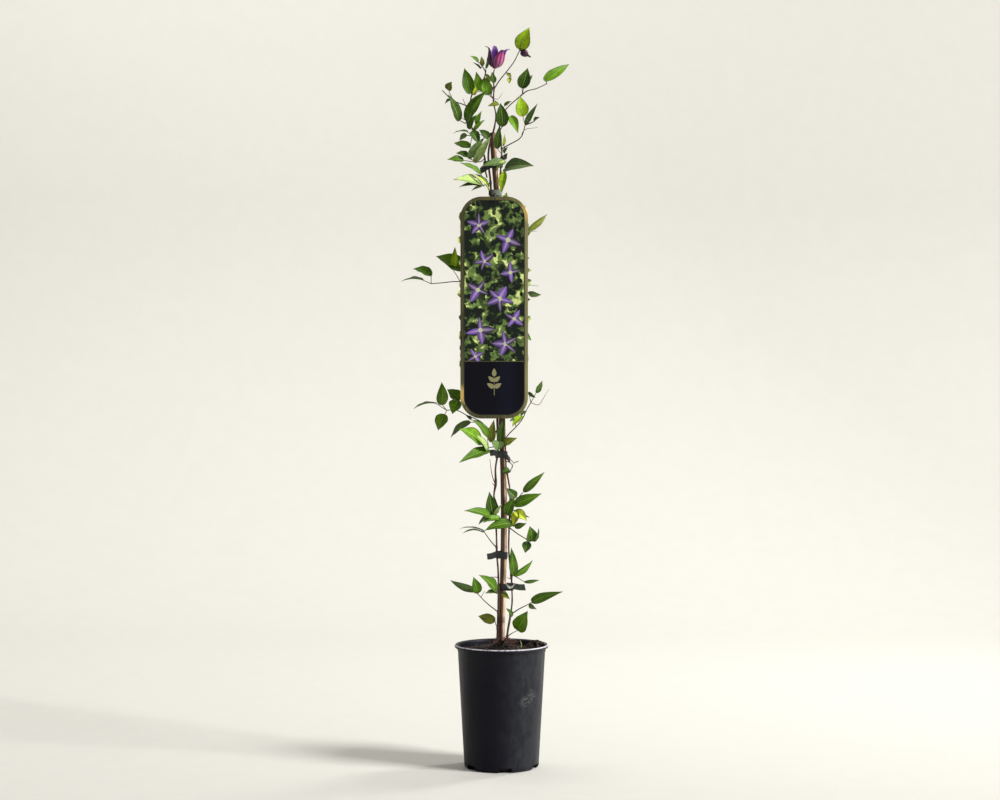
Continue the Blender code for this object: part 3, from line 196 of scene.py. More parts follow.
# A shoot is its stem, the height where it leaves it, how far it leans back for each step sideways, the
# tones of its leaves, the bends of its stalk, its leaves and its bare twigs.
# A leaf is the bend that its leafstalk leaves from (0 is the root), its base, tip, width and turn.
SHOOTS = {
    "shoot_low_right": ("stem_right", 208, -0.5, "l", [(15, -8, 212)], [
        (1, (27, -12, 219), (42, -20, 249), 26, 0),
    ], []),
    "shoot_low_left": ("stem_left", 222, 0.6, "o", [(-9, -9, 227)], [
        (1, (-11, -10, 235), (-37.5, -18, 240.5), 17, -40),
    ], []),
    "shoot_long_right": ("stem_right", 243, -0.7, "mgd", [(28, -8, 252), (44, -11, 260)], [
        (2, (50.5, -13, 265), (98.5, -22, 280), 15, 36), (2, (45, -12.5, 259), (56, -15, 252), 8, 30),
        (0, (17, -9, 241), (7, -12, 253.5), 9, 20),
    ], []),
    "shoot_long_left": ("stem_left", 247, 0.6, "gm", [(-24, -9, 262), (-37, -12, 275)], [
        (2, (-42, -13, 282), (-83, -20, 298.5), 12, -30), (2, (-38, -12, 279), (-45, -24, 304), 17, 8),
    ], [[(-33, -11, 271), (-27, -12, 281)]]),
    "shoot_pair_left": ("stem_left", 282, -0.7, "mdo", [(-9, -8.5, 281)], [
        (1, (-9, -9, 283), (-36, -17, 307), 19, 5), (1, (-7, -10, 277), (-26, -20, 278), 13, 20),
        (1, (2, -11, 277), (13, -14, 268), 9, 15),
    ], []),
    "shoot_pair_right": ("stem_right", 305, 0.5, "mmd", [(19, -7.5, 306)], [
        (1, (20, -9, 308), (16, -14, 351), 15, 15), (1, (22, -9, 307), (51, -14, 330.5), 11, 45),
        (1, (37.5, -6, 296), (61, -9, 298.5), 7, 60),
    ], []),
    "shoot_mid_right": ("stem_right", 383, -0.5, "mdd", [(24, -9, 374), (40, -12, 364)], [
        (2, (48, -14, 361.5), (45.5, -22, 385), 19, 8), (2, (53, -13, 361), (60, -17, 382.5), 8, 70),
        (2, (41.5, -13, 359.5), (38, -18, 342), 15, -10),
    ], []),
    "shoot_mid_left": ("stem_left", 350, 0.8, "gg", [(-18, -8, 362), (-28, -10, 376)], [
        (2, (-30, -11, 378), (-66.5, -18, 382), 9, 65), (2, (-30, -9, 375.5), (-62, 3, 374.5), 8, 70),
    ], [[(-28, -10, 376), (-21, -9, 384)]]),
    "shoot_heart_left": ("stem_left", 399, -0.5, "ddmglp", [(-14, -10, 401)], [
        (1, (-14, -10, 404), (-19.5, -14, 440), 19, -5), (1, (-8, -12, 407), (-11.5, -14, 434), 14, -20),
        (1, (-16, -10, 399.5), (-58.5, -22, 411), 18, 5), (1, (-16, -10, 400), (-37, -14, 388), 14, 30),
        (1, (-3, -13, 398), (-30, -18, 391), 12, 5), (1, (-12, -13, 402), (1, -17, 421), 6, 15),
    ], []),
    "shoot_heart_right": (
        "stem_right", 408, 0, "mmmyygdmd",
        [(16, -9, 412), (21, -11, 418), (27, -11, 431)], [
            (1, (9, -12, 404), (20.5, -14, 432), 18, -8), (2, (22, -12, 420), (64.5, -20, 437.5), 18, 15),
            (3, (37, -13, 442), (69, -20, 471.5), 13, 25), (1, (22, -14, 409), (41, -20, 393.5), 16, 0),
            (1, (25, -15, 408), (18.5, -18, 383.5), 14, 20), (1, (28, -12, 408), (45.5, -14, 399), 7, 70),
            (3, (22, -12, 431), (8, -14, 446), 16, 0), (0, (17, -15, 389), (-27, -25, 378), 19, 0),
            (0, (22, -13, 384), (40, -18, 389.5), 10, 15),
        ], [],
    ),
    "shoot_tendril": ("stem_right", 470, 0, "d", [(14, -9, 472)], [
        (1, (12, -11, 476), (1, -13, 470), 12, 0),
    ], [[(14, -9, 472), (21, -10, 487), (28, -10, 490)]]),
    "shoot_under_left": ("stem_left", 515, -0.6, "mlpgm", [(-14, -9, 512), (-21, -11, 511)], [
        (2, (-22, -12, 507), (-68, -24, 487), 20, 5), (2, (-35, -14, 520), (-68, -22, 541), 25, 0),
        (2, (-24, -17, 508), (-42, -25, 532), 12, 15), (2, (-25, -12, 508), (-39, -15, 519), 8, 40),
        (2, (-23, -10, 530), (-45.5, -14, 556), 16, 15),
    ], []),
    "shoot_label_left": (
        "stem_left", 536, 0.45, "ldmllgg",
        [(-20, -8, 541), (-34, -8, 553), (-56, -9, 563), (-72, -8, 571), (-88, -7, 571)], [
            (5, (-96, -8, 581), (-96, -14, 616), 19, 0), (5, (-106, -7, 582), (-141.5, -4, 574), 13, 68),
            (4, (-67.5, -10, 588), (-87, -15, 605), 21, 5), (4, (-70, -4, 586), (-79, -11, 565), 22, 8),
            (5, (-91, -9, 563), (-102, -15, 538.5), 22, 5), (2, (-51, -10, 551), (-82, -17, 527), 16, 20),
            (2, (-49, -8, 556), (-57, -10, 562.5), 7, 15),
        ], [],
    ),
    "shoot_under_label": ("stem_right", 515, 0, "dogo", [(3, -10.5, 517)], [
        (1, (-1, -11, 520), (3, -11, 557), 13, -10), (1, (-16, -9, 521), (-12, -9, 556), 14, -10),
        (1, (-5, -12, 521), (-8, -22, 505), 21, 0), (1, (2, -11, 517), (25, -16, 526.5), 13, 8),
    ], []),
    "shoot_label_right": (
        "stem_right", 525, 0.5, "bdgdd",
        [(12, -8.5, 533), (23, -9, 544), (33, -8, 556), (41, -7, 573), (47, -6, 583)], [
            (3, (32, -10, 561), (17, -15, 545), 13, 12), (4, (39, -8, 569), (30, -9, 560), 8, 25),
            (2, (22, -9, 557), (13, -10, 553), 7, 20), (5, (56, -7, 600), (66, -10, 618.5), 10, 45),
            (5, (44, -5, 600), (55, -7, 591), 7, 65),
        ], [[(47, -6, 583), (60, -6, 580), (67, -6, 590), (76, -6, 605)]],
    ),
    "shoot_beside_left": (
        "stem_left", 762, 0.3, "lbmm",
        [(-40, -7, 770), (-66, -7, 777), (-100, -6, 775), (-113, -6, 774)], [
            (2, (-63, -4, 797), (-105, -10, 818.5), 30, 5),
            (2, (-78, -10, 798), (-74.6, -16, 833), 13, 10),
            (4, (-113, -7, 788), (-142, -12, 798.5), 18, 8),
            (4, (-127, -7, 780), (-161, -12, 778.5), 14, 42),
        ], [],
    ),
    "shoot_beside_right": ("stem_right", 838, 0.6, "o", [(22, -8, 848), (40, -8, 857)], [
        (2, (44, -9, 861), (74, -13, 885.5), 12, 55),
    ], [[(40, -8, 857), (57, -8, 858.5)]]),
    "shoot_edge_right": ("stem_right", 745, 0.3, "g", [(24, -8, 755), (40, -8, 760)], [
        (2, (44, -8, 760), (64, -10, 756), 11, 68),
    ], [[(24, -8, 755), (44, -7, 771), (60, -7, 770.5)]]),
    "shoot_tips_right": ("stem_right", 690, 0.2, "mm", [(18, -8.5, 700)], [
        (1, (28, -5, 706), (46.5, -5, 722.5), 15, 5), (1, (26, -5, 698), (48.3, -5, 683), 15, 5),
    ], []),
    "shoot_back_one": ("stem_right", 612, 0, "mm", [(11, -2, 616), (13, 10, 621)], [
        (2, (16, 14, 623), (35, 32, 640), 20, 150), (2, (9, 16, 623), (-8, 36, 642), 19, 165),
    ], []),
    "shoot_back_two": ("stem_left", 655, 0, "md", [(-17, -1, 660), (-18, 11, 667)], [
        (2, (-21, 14, 668), (-45, 28, 684), 20, 165), (2, (-16, 17, 668), (-3, 36, 690), 19, 150),
    ], []),
    "shoot_back_three": ("stem_left", 727, 0, "mg", [(-20, -1, 731), (-20, 10, 738)], [
        (2, (-23, 14, 740), (-40, 33, 760), 21, 160), (2, (-16, 15, 740), (5, 33, 750), 20, 155),
    ], []),
    "shoot_back_four": ("stem_right", 800, 0, "md", [(8, -1, 805), (8, 11, 811)], [
        (2, (11, 15, 812), (35, 29, 826), 20, 155), (2, (4, 16, 812), (-14, 36, 831), 18, 160),
    ], []),
    "shoot_back_five": ("stem_left", 868, 0, "lm", [(-23, 0, 872), (-22, 11, 879)], [
        (2, (-25, 14, 881), (-46, 29, 897), 20, 160), (2, (-18, 15, 881), (2, 31, 893), 18, 150),
    ], []),
    "crown_tie_right": ("stem_right", 950, -0.7, "gb", [(3, -10, 951), (5, -12, 956)], [
        (2, (7, -12, 959), (50.5, -19, 965), 29, 0), (1, (4.5, -13, 952), (0.5, -17, 919.5), 13, 10),
    ], []),
    "crown_front": ("stem_right", 977, -0.2, "gpd", [(4, -10, 976), (5, -14, 972)], [
        (2, (4, -15, 969), (-33, -21, 962), 17, 5), (2, (6, -17, 970), (-9, -22, 957), 9, 0),
        (1, (-7, -12, 992), (-3.5, -16, 1027), 13, 0),
    ], []),
    "crown_low_left": ("stem_left", 936, -0.8, "pmympd", [(-22, -9, 933), (-30, -10, 932)], [
        (2, (-32, -11, 932), (-77, -20, 941.5), 24, 5), (1, (-34, -13, 950), (-67, -17, 968), 14, 5),
        (1, (-20, -16, 924), (-48, -21, 952), 7, 25), (1, (-21, -11, 930), (-42, -10, 950), 10, 20),
        (2, (-34, -13, 929), (-48, -14, 923.5), 6, 10), (2, (-34, -14, 931), (-68, -19, 930), 9, 0),
    ], []),
    "crown_mid_left": ("stem_side", 975, 0.0, "pgdm", [(-33, -7, 970), (-42, -9, 969)], [
        (2, (-42, -11, 970), (-17, -17, 1011), 15, 0), (2, (-52, -9, 976), (-27, -12, 1009), 13, 15),
        (2, (-54, -7, 978), (-73, -7, 984), 14, 10), (2, (-62, -10, 972), (-87, -15, 973), 14, 5),
    ], []),
    "crown_side_left": ("stem_side", 1010, 0.9, "lgm", [(-47, -4, 1011)], [
        (1, (-51, -8, 993), (-76.5, -13, 1000), 15, 0), (1, (-56, -6, 1012), (-68, -10, 1004), 12, 5),
        (1, (-55, -4, 1018), (-77.5, -8, 1016), 8, 35),
    ], []),
    "crown_dark": ("stem_side", 1020, 0, "ddlld", [(-46, -4, 1021)], [
        (1, (-47, -9, 1018), (-35, -11, 998), 17, -12), (1, (-52, -7, 1023), (-41, -10, 1045), 13, -18),
        (1, (-44, -8, 1021), (-27, -12, 1037), 7, 20), (1, (-40, -8, 1030), (-32, -12, 1051), 9, 0),
        (1, (-21, -11, 1008), (-36, -13, 1021), 13, -10),
    ], []),
    "crown_left": ("stem_side", 1034, -0.5, "mld", [(-58, -1, 1031)], [
        (1, (-55, -5, 1037), (-24, -13, 1084), 25, -12), (1, (-48, -14, 1046), (-27, -18, 1081), 10, 15),
        (1, (-69, -3, 1037), (-85, -12, 1078), 18, 15),
    ], []),
    "crown_twig_left": ("stem_side", 1057, 0.9, "mo", [(-60, 4, 1061), (-78, 3, 1068), (-95, 1, 1084)], [
        (2, (-82, 2, 1069), (-91, 0, 1062), 8, 15), (2, (-85, 3, 1085), (-80, 1, 1098), 14, 0),
    ], []),
    "crown_centre": ("stem_right", 1020, 0, "dlg", [(0, -10, 1024)], [
        (1, (2, -11, 1028), (-2, -14, 1064), 21, -8), (1, (15, -10, 1042), (26.5, -15, 1016), 14, 5),
        (1, (5, -9, 1060), (16, -13, 1067), 6, 10),
    ], []),
    "crown_right": (
        "stem_right", 990, -0.7, "dpbymg",
        [(5, -9, 993), (14, -9, 998), (32, -8, 1010), (38, -8, 1028)], [
            (4, (39, -9, 1031), (58, -13, 1063), 9, 35), (4, (43, -10, 1035), (48, -13, 1053), 9, 10),
            (4, (34, -10, 1044), (29.5, -15, 1075), 21, 0), (1, (3, -11, 996), (5, -14, 1014), 5, 20),
            (1, (4, -12, 984), (10, -15, 993), 7, 0), (4, (52, -9, 1035), (61, -12, 1041), 9, 0),
        ], [
            [(32, -8, 1010), (34, -8, 1017), (58, -8, 1025)],
            [(38, -8, 1028), (52, -8, 1034), (58, -8, 1040)],
        ],
    ),
    "crown_far_right": ("stem_right", 1078, 0.6, "ldd", [(39, -6, 1082), (56, -6, 1087), (73, -6, 1095)], [
        (3, (70, -7, 1101), (108.5, -14, 1126.5), 17, 12), (0, (33, -7, 1089), (42, -14, 1120), 21, 0),
        (0, (37, -6, 1098), (50, -9, 1108.5), 9, 20),
    ], []),
    "crown_upper_left": ("stem_side", 1080, 0.9, "mldy", [(-48, 1, 1081)], [
        (1, (-50, -1, 1080), (-59.5, -9, 1120), 20, 0), (1, (-36, -2, 1085), (-40.5, -9, 1114), 17, 12),
        (1, (-31, -5, 1083), (-29, -9, 1103), 10, 0), (1, (-44, -8, 1077), (-41, -10, 1091), 7, 0),
    ], []),
    "crown_upper_mid": ("stem_left", 1073, 0.3, "ldoo", [(-17, -3, 1074)], [
        (1, (-22, -2, 1078), (-27, -8, 1106), 19, 0), (1, (-12, -7, 1097), (-15, -10, 1114), 10, 0),
        (1, (-19, -7, 1099), (-26, -9, 1112), 8, 0), (1, (-5, -10, 1062), (-22, -13, 1059), 10, 5),
    ], [[(-17, -3, 1074), (-6, -6, 1070), (1, -6, 1080)]]),
    "crown_shoot": (
        "stem_left", 1086, 0, "boy",
        [(-4, -4, 1099), (8, -6, 1114), (20, -8, 1130), (28, -9, 1146)], [
            (4, (30, -10, 1151), (44, -19, 1185.5), 26, 0), (2, (9, -8, 1111), (16, -10, 1104), 7, 0),
            (2, (13, -8, 1104), (12.5, -9, 1095), 7, 0),
        ], [],
    ),
    "crown_young_tip": ("stem_side", 1114, 0.5, "ldod", [(-31, 1, 1123), (-35, 0, 1128)], [
        (2, (-38, -1, 1130), (-50, -6, 1139.5), 8, 15), (1, (-34, -1, 1119), (-46, -6, 1129), 7, 35),
        (1, (-31, -2, 1124), (-32, -6, 1139), 8, 15), (0, (-25, -2, 1120), (-23, -6, 1137), 6, 45),
    ], []),
}

TIE_CLEARANCE = 0.7
TIE_WIDTH = 11.0
TAPE_THICKNESS = 0.5
TAIL_WIDTH = 10.3
# A tie is its height, the stems that it holds to the cane, and the path of each loose tail.
TIES = {
    "tie_lower": (288, ["stem_right"], [
        [(10, -7.4, 289), (20, -7.6, 288.5), (30, -8.6, 287), (38, -9.5, 287)],
    ]),
    "tie_middle": (339, ["stem_left"], [
        [(-3, -6.4, 340), (-9, -6.6, 339.5), (-16, -8.5, 337), (-23, -10, 336)],
    ]),
    "tie_upper": (500, ["stem_left", "stem_right"], [
        [(-2, -8.4, 501), (-7, -8.4, 501.5), (-13, -9.6, 503), (-19, -10.5, 502)],
        [(1.5, -8.8, 502), (6, -9.6, 499), (10, -10.4, 495), (14, -10.8, 490)],
    ]),
    "tie_top": (965, ["stem_left", "stem_right", "stem_side"], [
        [(-16, -8.0, 965), (-22, -8.6, 962), (-28, -9.6, 958), (-34, -10, 955)],
        [(-6, -8.6, 969), (0, -9.2, 973), (5, -9.8, 977), (9, -10, 979)],
    ]),
    "label_tie": (919.5, ["stem_left", "stem_right"], []),
}
# How far right the label's tie is pale from, and the lower tie's end faded from.
LABEL_TIE_PALE_FROM = -14.0
FADED_FROM = 21.0
# A tape goes round in so many steps, a little over one turn in degrees, and is so many points wide.
WRAP_STEPS = 64
WRAP_TURN = 390
TAPE_COLUMNS = 7
# Its two turns' shares of the full width.
WRAP_WIDTHS = (1.0, 0.72)
# How far the first turn lies off the stems, the second off the first, and a turn's lapped end off its start.
WRAP_GAP = 0.15
WRAP_LAYER = 0.65
WRAP_LAP_RISE = 0.55
# The loop of clear tape on the lower tie.
CLEAR_LOOP = [(7.0, -9.2, 294), (12.0, -10.4, 287), (16.0, -10.6, 287), (22.0, -9.4, 293.5)]
CLEAR_WIDTH = 4.2
# The strap's route is given: down in front of the card, through its hole and back to the cane.
STRAP_RADIUS = 0.9
STRAP = [
    (-10.4, -6.9, 919), (-10.4, -16.6, 915.5), (-10.4, -16.8, 909), (-10.4, -14.8, 906.3),
    (-10.4, -12.0, 906.3), (-10.4, -6.9, 913),
]

LABEL_MIDDLE = (-11.7, -13.6, 735.7)
LABEL_WIDTH = 108.0
LABEL_HEIGHT = 354.5
LABEL_CORNER = 34.0
LABEL_THICKNESS = 0.8
LABEL_HOLE = (-10.4, 905.0)
LABEL_HOLE_RADIUS = 2.5
BORDER_LINE = 1.2
# Where the metallic border catches the light.
BORDER_GLINTS = [(38.0, -14.5, 886.0), (-63.0, -14.5, 596.0)]
LABEL_PANEL_TOP = 648.4
RULE_WIDTH = 1.3
# The label's raised layers: how far the front stands before the card's middle, thickness, edge rounding.
LABEL_LAYERS = {
    "label_border": (0.85, 0.5, 0.12), "label_border_line": (0.78, 0.42, 0.1),
    "label_panel": (0.76, 0.4, 0.05), "label_rule": (0.84, 0.46, 0.05),
}

FLOWER_BASE = (-11.4, -8.0, 1118.6)
FLOWER_AXIS = Vector((0.16, -0.30, 0.94)).normalized()
TEPAL_ANGLES = (198, 108, 18, 302)
BELL_RADII = [(0.0, 2.2), (0.16, 9.0), (0.38, 12.6), (0.62, 13.2), (0.82, 14.2), (0.93, 17.0), (1.0, 20.5)]
BELL_HEIGHTS = [(0.0, 0.0), (0.16, 4.0), (0.38, 11.5), (0.62, 20.5), (0.82, 28.0), (0.93, 31.6), (1.0, 31.8)]
TEPAL_HALF_ANGLE = 40.0
TEPAL_STAGGER = 0.4
TEPAL_RISE = 1.6
TEPAL_FULLNESS = 1.9
TEPAL_TAPER = 0.75
TEPAL_ROWS = 30
TEPAL_COLUMNS = 17
TEPAL_THICKNESS = 0.9
# Painted shade on the tepals' backs, one factor each: darkest on the left tepal, then the back one.
TEPAL_PAINTED_SHADE = (0.16, 0.6, 0.85, 1.0)
BUD_CENTRE = (36.6, -12.0, 1144.0)
BUD_AXIS = Vector((0.83, -0.1, -0.55)).normalized()
BUD_PROFILE = [
    (0, 12.8), (0.4, 12.6), (2.2, 7.0), (4.6, 4.6), (6.3, 1.2), (6.0, -2.6), (3.4, -5.6), (1.2, -6.2),
    (0.8, -8.6), (0, -8.6),
]
# The core that the stamens grow on is a turned profile of (radius, height).
STAMEN_HEART = [(0, 17.7), (1.6, 16.2), (3.0, 10.7), (2.6, 6.7), (1.6, 3.7), (0, 3.7)]

# Printed flowers are (x, z, size, petals) about the label's middle.
PRINTED_FLOWERS = [
    (-24, 132, 38, 5), (22, 108, 46, 4), (-16, 74, 34, 5), (26, 56, 38, 4), (-26, 28, 42, 4), (8, 14, 48, 5),
    (32, -18, 34, 4), (-22, -36, 44, 4), (18, -58, 40, 5), (-30, -78, 26, 4),
]
# How bright a printed petal may be, and the colour of the flower's heart.
PRINTED_TONES = (0.12, 0.6, 0.9, 1.2)
PRINTED_HEART = (0.55, 0.58, 0.34)
# The plain leaf sprig on the panel is (x, z, direction in degrees, length).
PANEL_SPRIG = [
    (0, -110, 90, 13), (0.4, -118, 42, 12), (-0.4, -118, 138, 12), (0.4, -128, 32, 13), (-0.4, -128, 148, 13),
]
# The paper sweep, in metres: its front edge, where it bends up and how round, its top and half its width.
PAPER_FRONT = -4.5
PAPER_BEND = 1.6
PAPER_BEND_RADIUS = 1.2
PAPER_TOP = 5.0
PAPER_HALF_WIDTH = 6.0
PAPER_THICKNESS = 0.0002
# A light is its name, place, aim, size, power and colour, in metres and watts.
STUDIO_LIGHTS = [
    ("key_light", (10.0, -4.8, 7.6), (0.0, 0.0, 0.75), (4.0, 4.0), 2600.0, (1.0, 0.99, 0.98)),
    ("back_light", (1.4, 1.0, 1.8), (0.0, 0.0, 0.8), (0.4, 0.9), 24.0, (1.0, 0.985, 0.96)),
    ("paper_light", (-1.5, 1.0, 3.2), (-1.7, 2.6, 0.8), (3.4, 0.7), 42.0, (1.0, 0.995, 0.99)),
]


def placed(point):
    """A place in the cane's plane as the eye sees it, carried to its own depth y, in metres."""
    x, y, z = point[:3]
    spread = 1 + y / -EYE.y
    return Vector((EYE.x + (x - EYE.x) * spread, y, EYE.z + (z - EYE.z) * spread)) * MM


def smoothed(knots, spacing):
    """A smooth curve through knots (x, y, z, ...) in millimetres, read at about this spacing."""
    knots = np.array(knots, float)
    gaps = np.linalg.norm(np.diff(knots[:, :3], axis=0), axis=1)
    slopes = np.diff(knots, axis=0) / gaps[:, None]
    ways = [slopes[0]]
    for i in range(1, len(gaps)):
        ways.append((slopes[i - 1] * gaps[i] + slopes[i] * gaps[i - 1]) / (gaps[i - 1] + gaps[i]))
    ways.append(slopes[-1])
    curve = [knots[0]]
    for i, gap in enumerate(gaps):
        steps = max(2, math.ceil(gap / spacing))
        for step in range(1, steps + 1):
            t = step / steps
            curve.append(
                knots[i] * (2 * t**3 - 3 * t**2 + 1) + ways[i] * gap * (t**3 - 2 * t**2 + t)
                + knots[i + 1] * (3 * t**2 - 2 * t**3) + ways[i + 1] * gap * (t**3 - t**2)
            )
    return np.array(curve)


def along_path(path, z):
    """The point, and the radius where the path has one, at a height."""
    path = np.array(path, float)
    return [float(np.interp(z, path[:, 2], path[:, column])) for column in range(path.shape[1])]


def in_metres(curve):
    """The places along a curve in millimetres, without what else its points carry."""
    return [Vector(point[:3]) * MM for point in curve]


def shaded(colour, share):
    return [share * part for part in colour]


def arc(centre, radius, start, end, steps):
    """Points on an arc in (x, y), from one angle in degrees to another."""
    angles = [math.radians(start + (end - start) * i / steps) for i in range(steps + 1)]
    return [(centre[0] + radius * math.cos(a), centre[1] + radius * math.sin(a)) for a in angles]


class Gathering:
    """The points, faces, places and colours of one piece while it is being made."""

    def __init__(self):
        self.points = []
        self.faces = []
        self.slots = []
        self.places = []
        self.tints = []

    def add(self, points, faces, slot, places, tints):
        """A tint is a colour and, as its fourth value, 1 on an underside and 0 elsewhere."""
        first = len(self.points)
        self.points.extend([tuple(point) for point in points])
        self.faces.extend([tuple(first + corner for corner in face) for face in faces])
        self.slots.extend([slot] * len(faces))
        self.places.extend(places)
        self.tints.extend(tints)

    def made(self, name, materials, sharp=50.0):
        mesh = bpy.data.meshes.new(name)
        mesh.from_pydata(self.points, [], self.faces)
        corners = np.empty(len(mesh.loops), np.int32)
        mesh.loops.foreach_get("vertex_index", corners)
        mesh.uv_layers.new(name="UVMap")
        mesh.uv_layers[0].data.foreach_set("uv", np.array(self.places, np.float32)[corners].ravel())
        tint = mesh.color_attributes.new("tint", "FLOAT_COLOR", "POINT")
        tint.data.foreach_set("color", np.array(self.tints, np.float32).ravel())
        for material in materials:
            mesh.materials.append(material)
        mesh.polygons.foreach_set("material_index", np.array(self.slots, np.int32))
        return add_piece(name, mesh, sharp)


def loose_object(name, data):
    obj = bpy.data.objects.new(name, data)
    bpy.context.scene.collection.objects.link(obj)
    return obj


def add_piece(name, mesh, sharp=50.0):
    mesh.shade_smooth()
    mesh.set_sharp_from_angle(angle=math.radians(sharp))
    return loose_object(name, mesh)


def settled(obj):
    """The object as a plain mesh piece of the same name at the origin, with its modifiers applied."""
    bpy.context.view_layer.update()
    graph = bpy.context.evaluated_depsgraph_get()
    mesh = bpy.data.meshes.new_from_object(obj.evaluated_get(graph))
    mesh.transform(obj.matrix_world)
    name = obj.name
    bpy.data.objects.remove(obj)
    mesh.name = name
    return add_piece(name, mesh)


def seat(piece, slot, *nodes):
    """The piece rides on the part's one body and stands for these nodes; slot is not used."""
    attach(piece, "root")
    if nodes:
        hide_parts(*nodes)
    return piece


def closed_sheet(gathering, grid, thickness, slot, upper, under):
    """A thin closed sheet from a grid of points; upper and under are its two faces' tints, row by row."""
    rows, columns = grid.shape[:2]
    normal = np.cross(np.gradient(grid, axis=0), np.gradient(grid, axis=1))
    normal /= np.linalg.norm(normal, axis=2, keepdims=True) + 1e-12
    thick = np.broadcast_to(np.asarray(thickness, float), (rows, columns))[..., None]
    half = normal * thick / 2
    points = np.concatenate([(grid + half).reshape(-1, 3), (grid - half).reshape(-1, 3)])
    count = rows * columns
    faces = []
    for i in range(rows - 1):
        for j in range(columns - 1):
            a = i * columns + j
            b, c, d = a + columns, a + columns + 1, a + 1
            faces.append((a, b, c, d))
            faces.append((d + count, c + count, b + count, a + count))
    edge = [i * columns for i in range(rows)] + [(rows - 1) * columns + j for j in range(1, columns)]
    edge += [i * columns + columns - 1 for i in range(rows - 2, -1, -1)] + list(range(columns - 2, 0, -1))
    for a, b in zip(edge, edge[1:] + edge[:1]):
        faces.append((a, a + count, b + count, b))
    places = [(i / (rows - 1), j / (columns - 1)) for i in range(rows) for j in range(columns)]
    gathering.add(points, faces, slot, places * 2, list(upper) + list(under))


def rod(gathering, points, radii, sides, slot, tint, flutes=0, flute_depth=0.0):
    """A closed round rod along points in metres, with a radius at each; flutes are ribs along it."""
    last = len(points) - 1
    across = Vector((0.83, 0.41, 0.37))
    rings, places = [], []
    for i, point in enumerate(points):
        ahead = (points[min(i + 1, last)] - points[max(i - 1, 0)]).normalized()
        across = (across - across.dot(ahead) * ahead).normalized()
        other = ahead.cross(across)
        for side in range(sides):
            angle = 2 * math.pi * side / sides
            radius = radii[i] * (1 + flute_depth * math.cos(flutes * angle))
            rings.append(point + (across * math.cos(angle) + other * math.sin(angle)) * radius)
            places.append((i / last, side / sides))
    faces = [tuple(range(sides))[::-1], tuple(last * sides + side for side in range(sides))]
    for i in range(last):
        for side in range(sides):
            a, b = i * sides + side, i * sides + (side + 1) % sides
            faces.append((a, b, b + sides, a + sides))
    gathering.add(rings, faces, slot, places, [(*tint, 0.0)] * len(rings))


def tapered_rod(gathering, points, radii, sides, slot, tint):
    """A rod that thins evenly from its first radius to its second, both in millimetres."""
    thick, thin = radii
    last = len(points) - 1
    along = [(thick - (thick - thin) * i / last) * MM for i in range(last + 1)]
    rod(gathering, points, along, sides, slot, tint)


def turned_mesh(name, profile, sides):
    """A profile of (radius, height) in millimetres turned about Z; its two ends lie on the axis."""
    points = [(0.0, 0.0, profile[0][1] * MM)]
    for radius, height in profile[1:-1]:
        for side in range(sides):
            angle = 2 * math.pi * side / sides
            points.append((radius * MM * math.cos(angle), radius * MM * math.sin(angle), height * MM))
    points.append((0.0, 0.0, profile[-1][1] * MM))
    faces, last = [], len(points) - 1
    for side in range(sides):
        beside = (side + 1) % sides
        faces.append((0, 1 + side, 1 + beside))
        for ring in range(len(profile) - 3):
            a, b = 1 + ring * sides + side, 1 + ring * sides + beside
            faces.append((a, a + sides, b + sides, b))
        faces.append((last, last - sides + beside, last - sides + side))
    mesh = bpy.data.meshes.new(name)
    mesh.from_pydata(points, [], faces)
    return mesh


class Joining:
    """A tree while its nodes are being joined."""

    family = ""

    def feed(self, socket, value):
        if isinstance(value, bpy.types.NodeSocket):
            self.tree.links.new(value, socket)
        else:
            socket.default_value = value

    def node(self, kind, inputs=None, **settings):
        node = self.tree.nodes.new(self.family + kind)
        for setting, value in settings.items():
            setattr(node, setting, value)
        for socket, value in (inputs or {}).items():
            self.feed(node.inputs[socket], value)
        return node


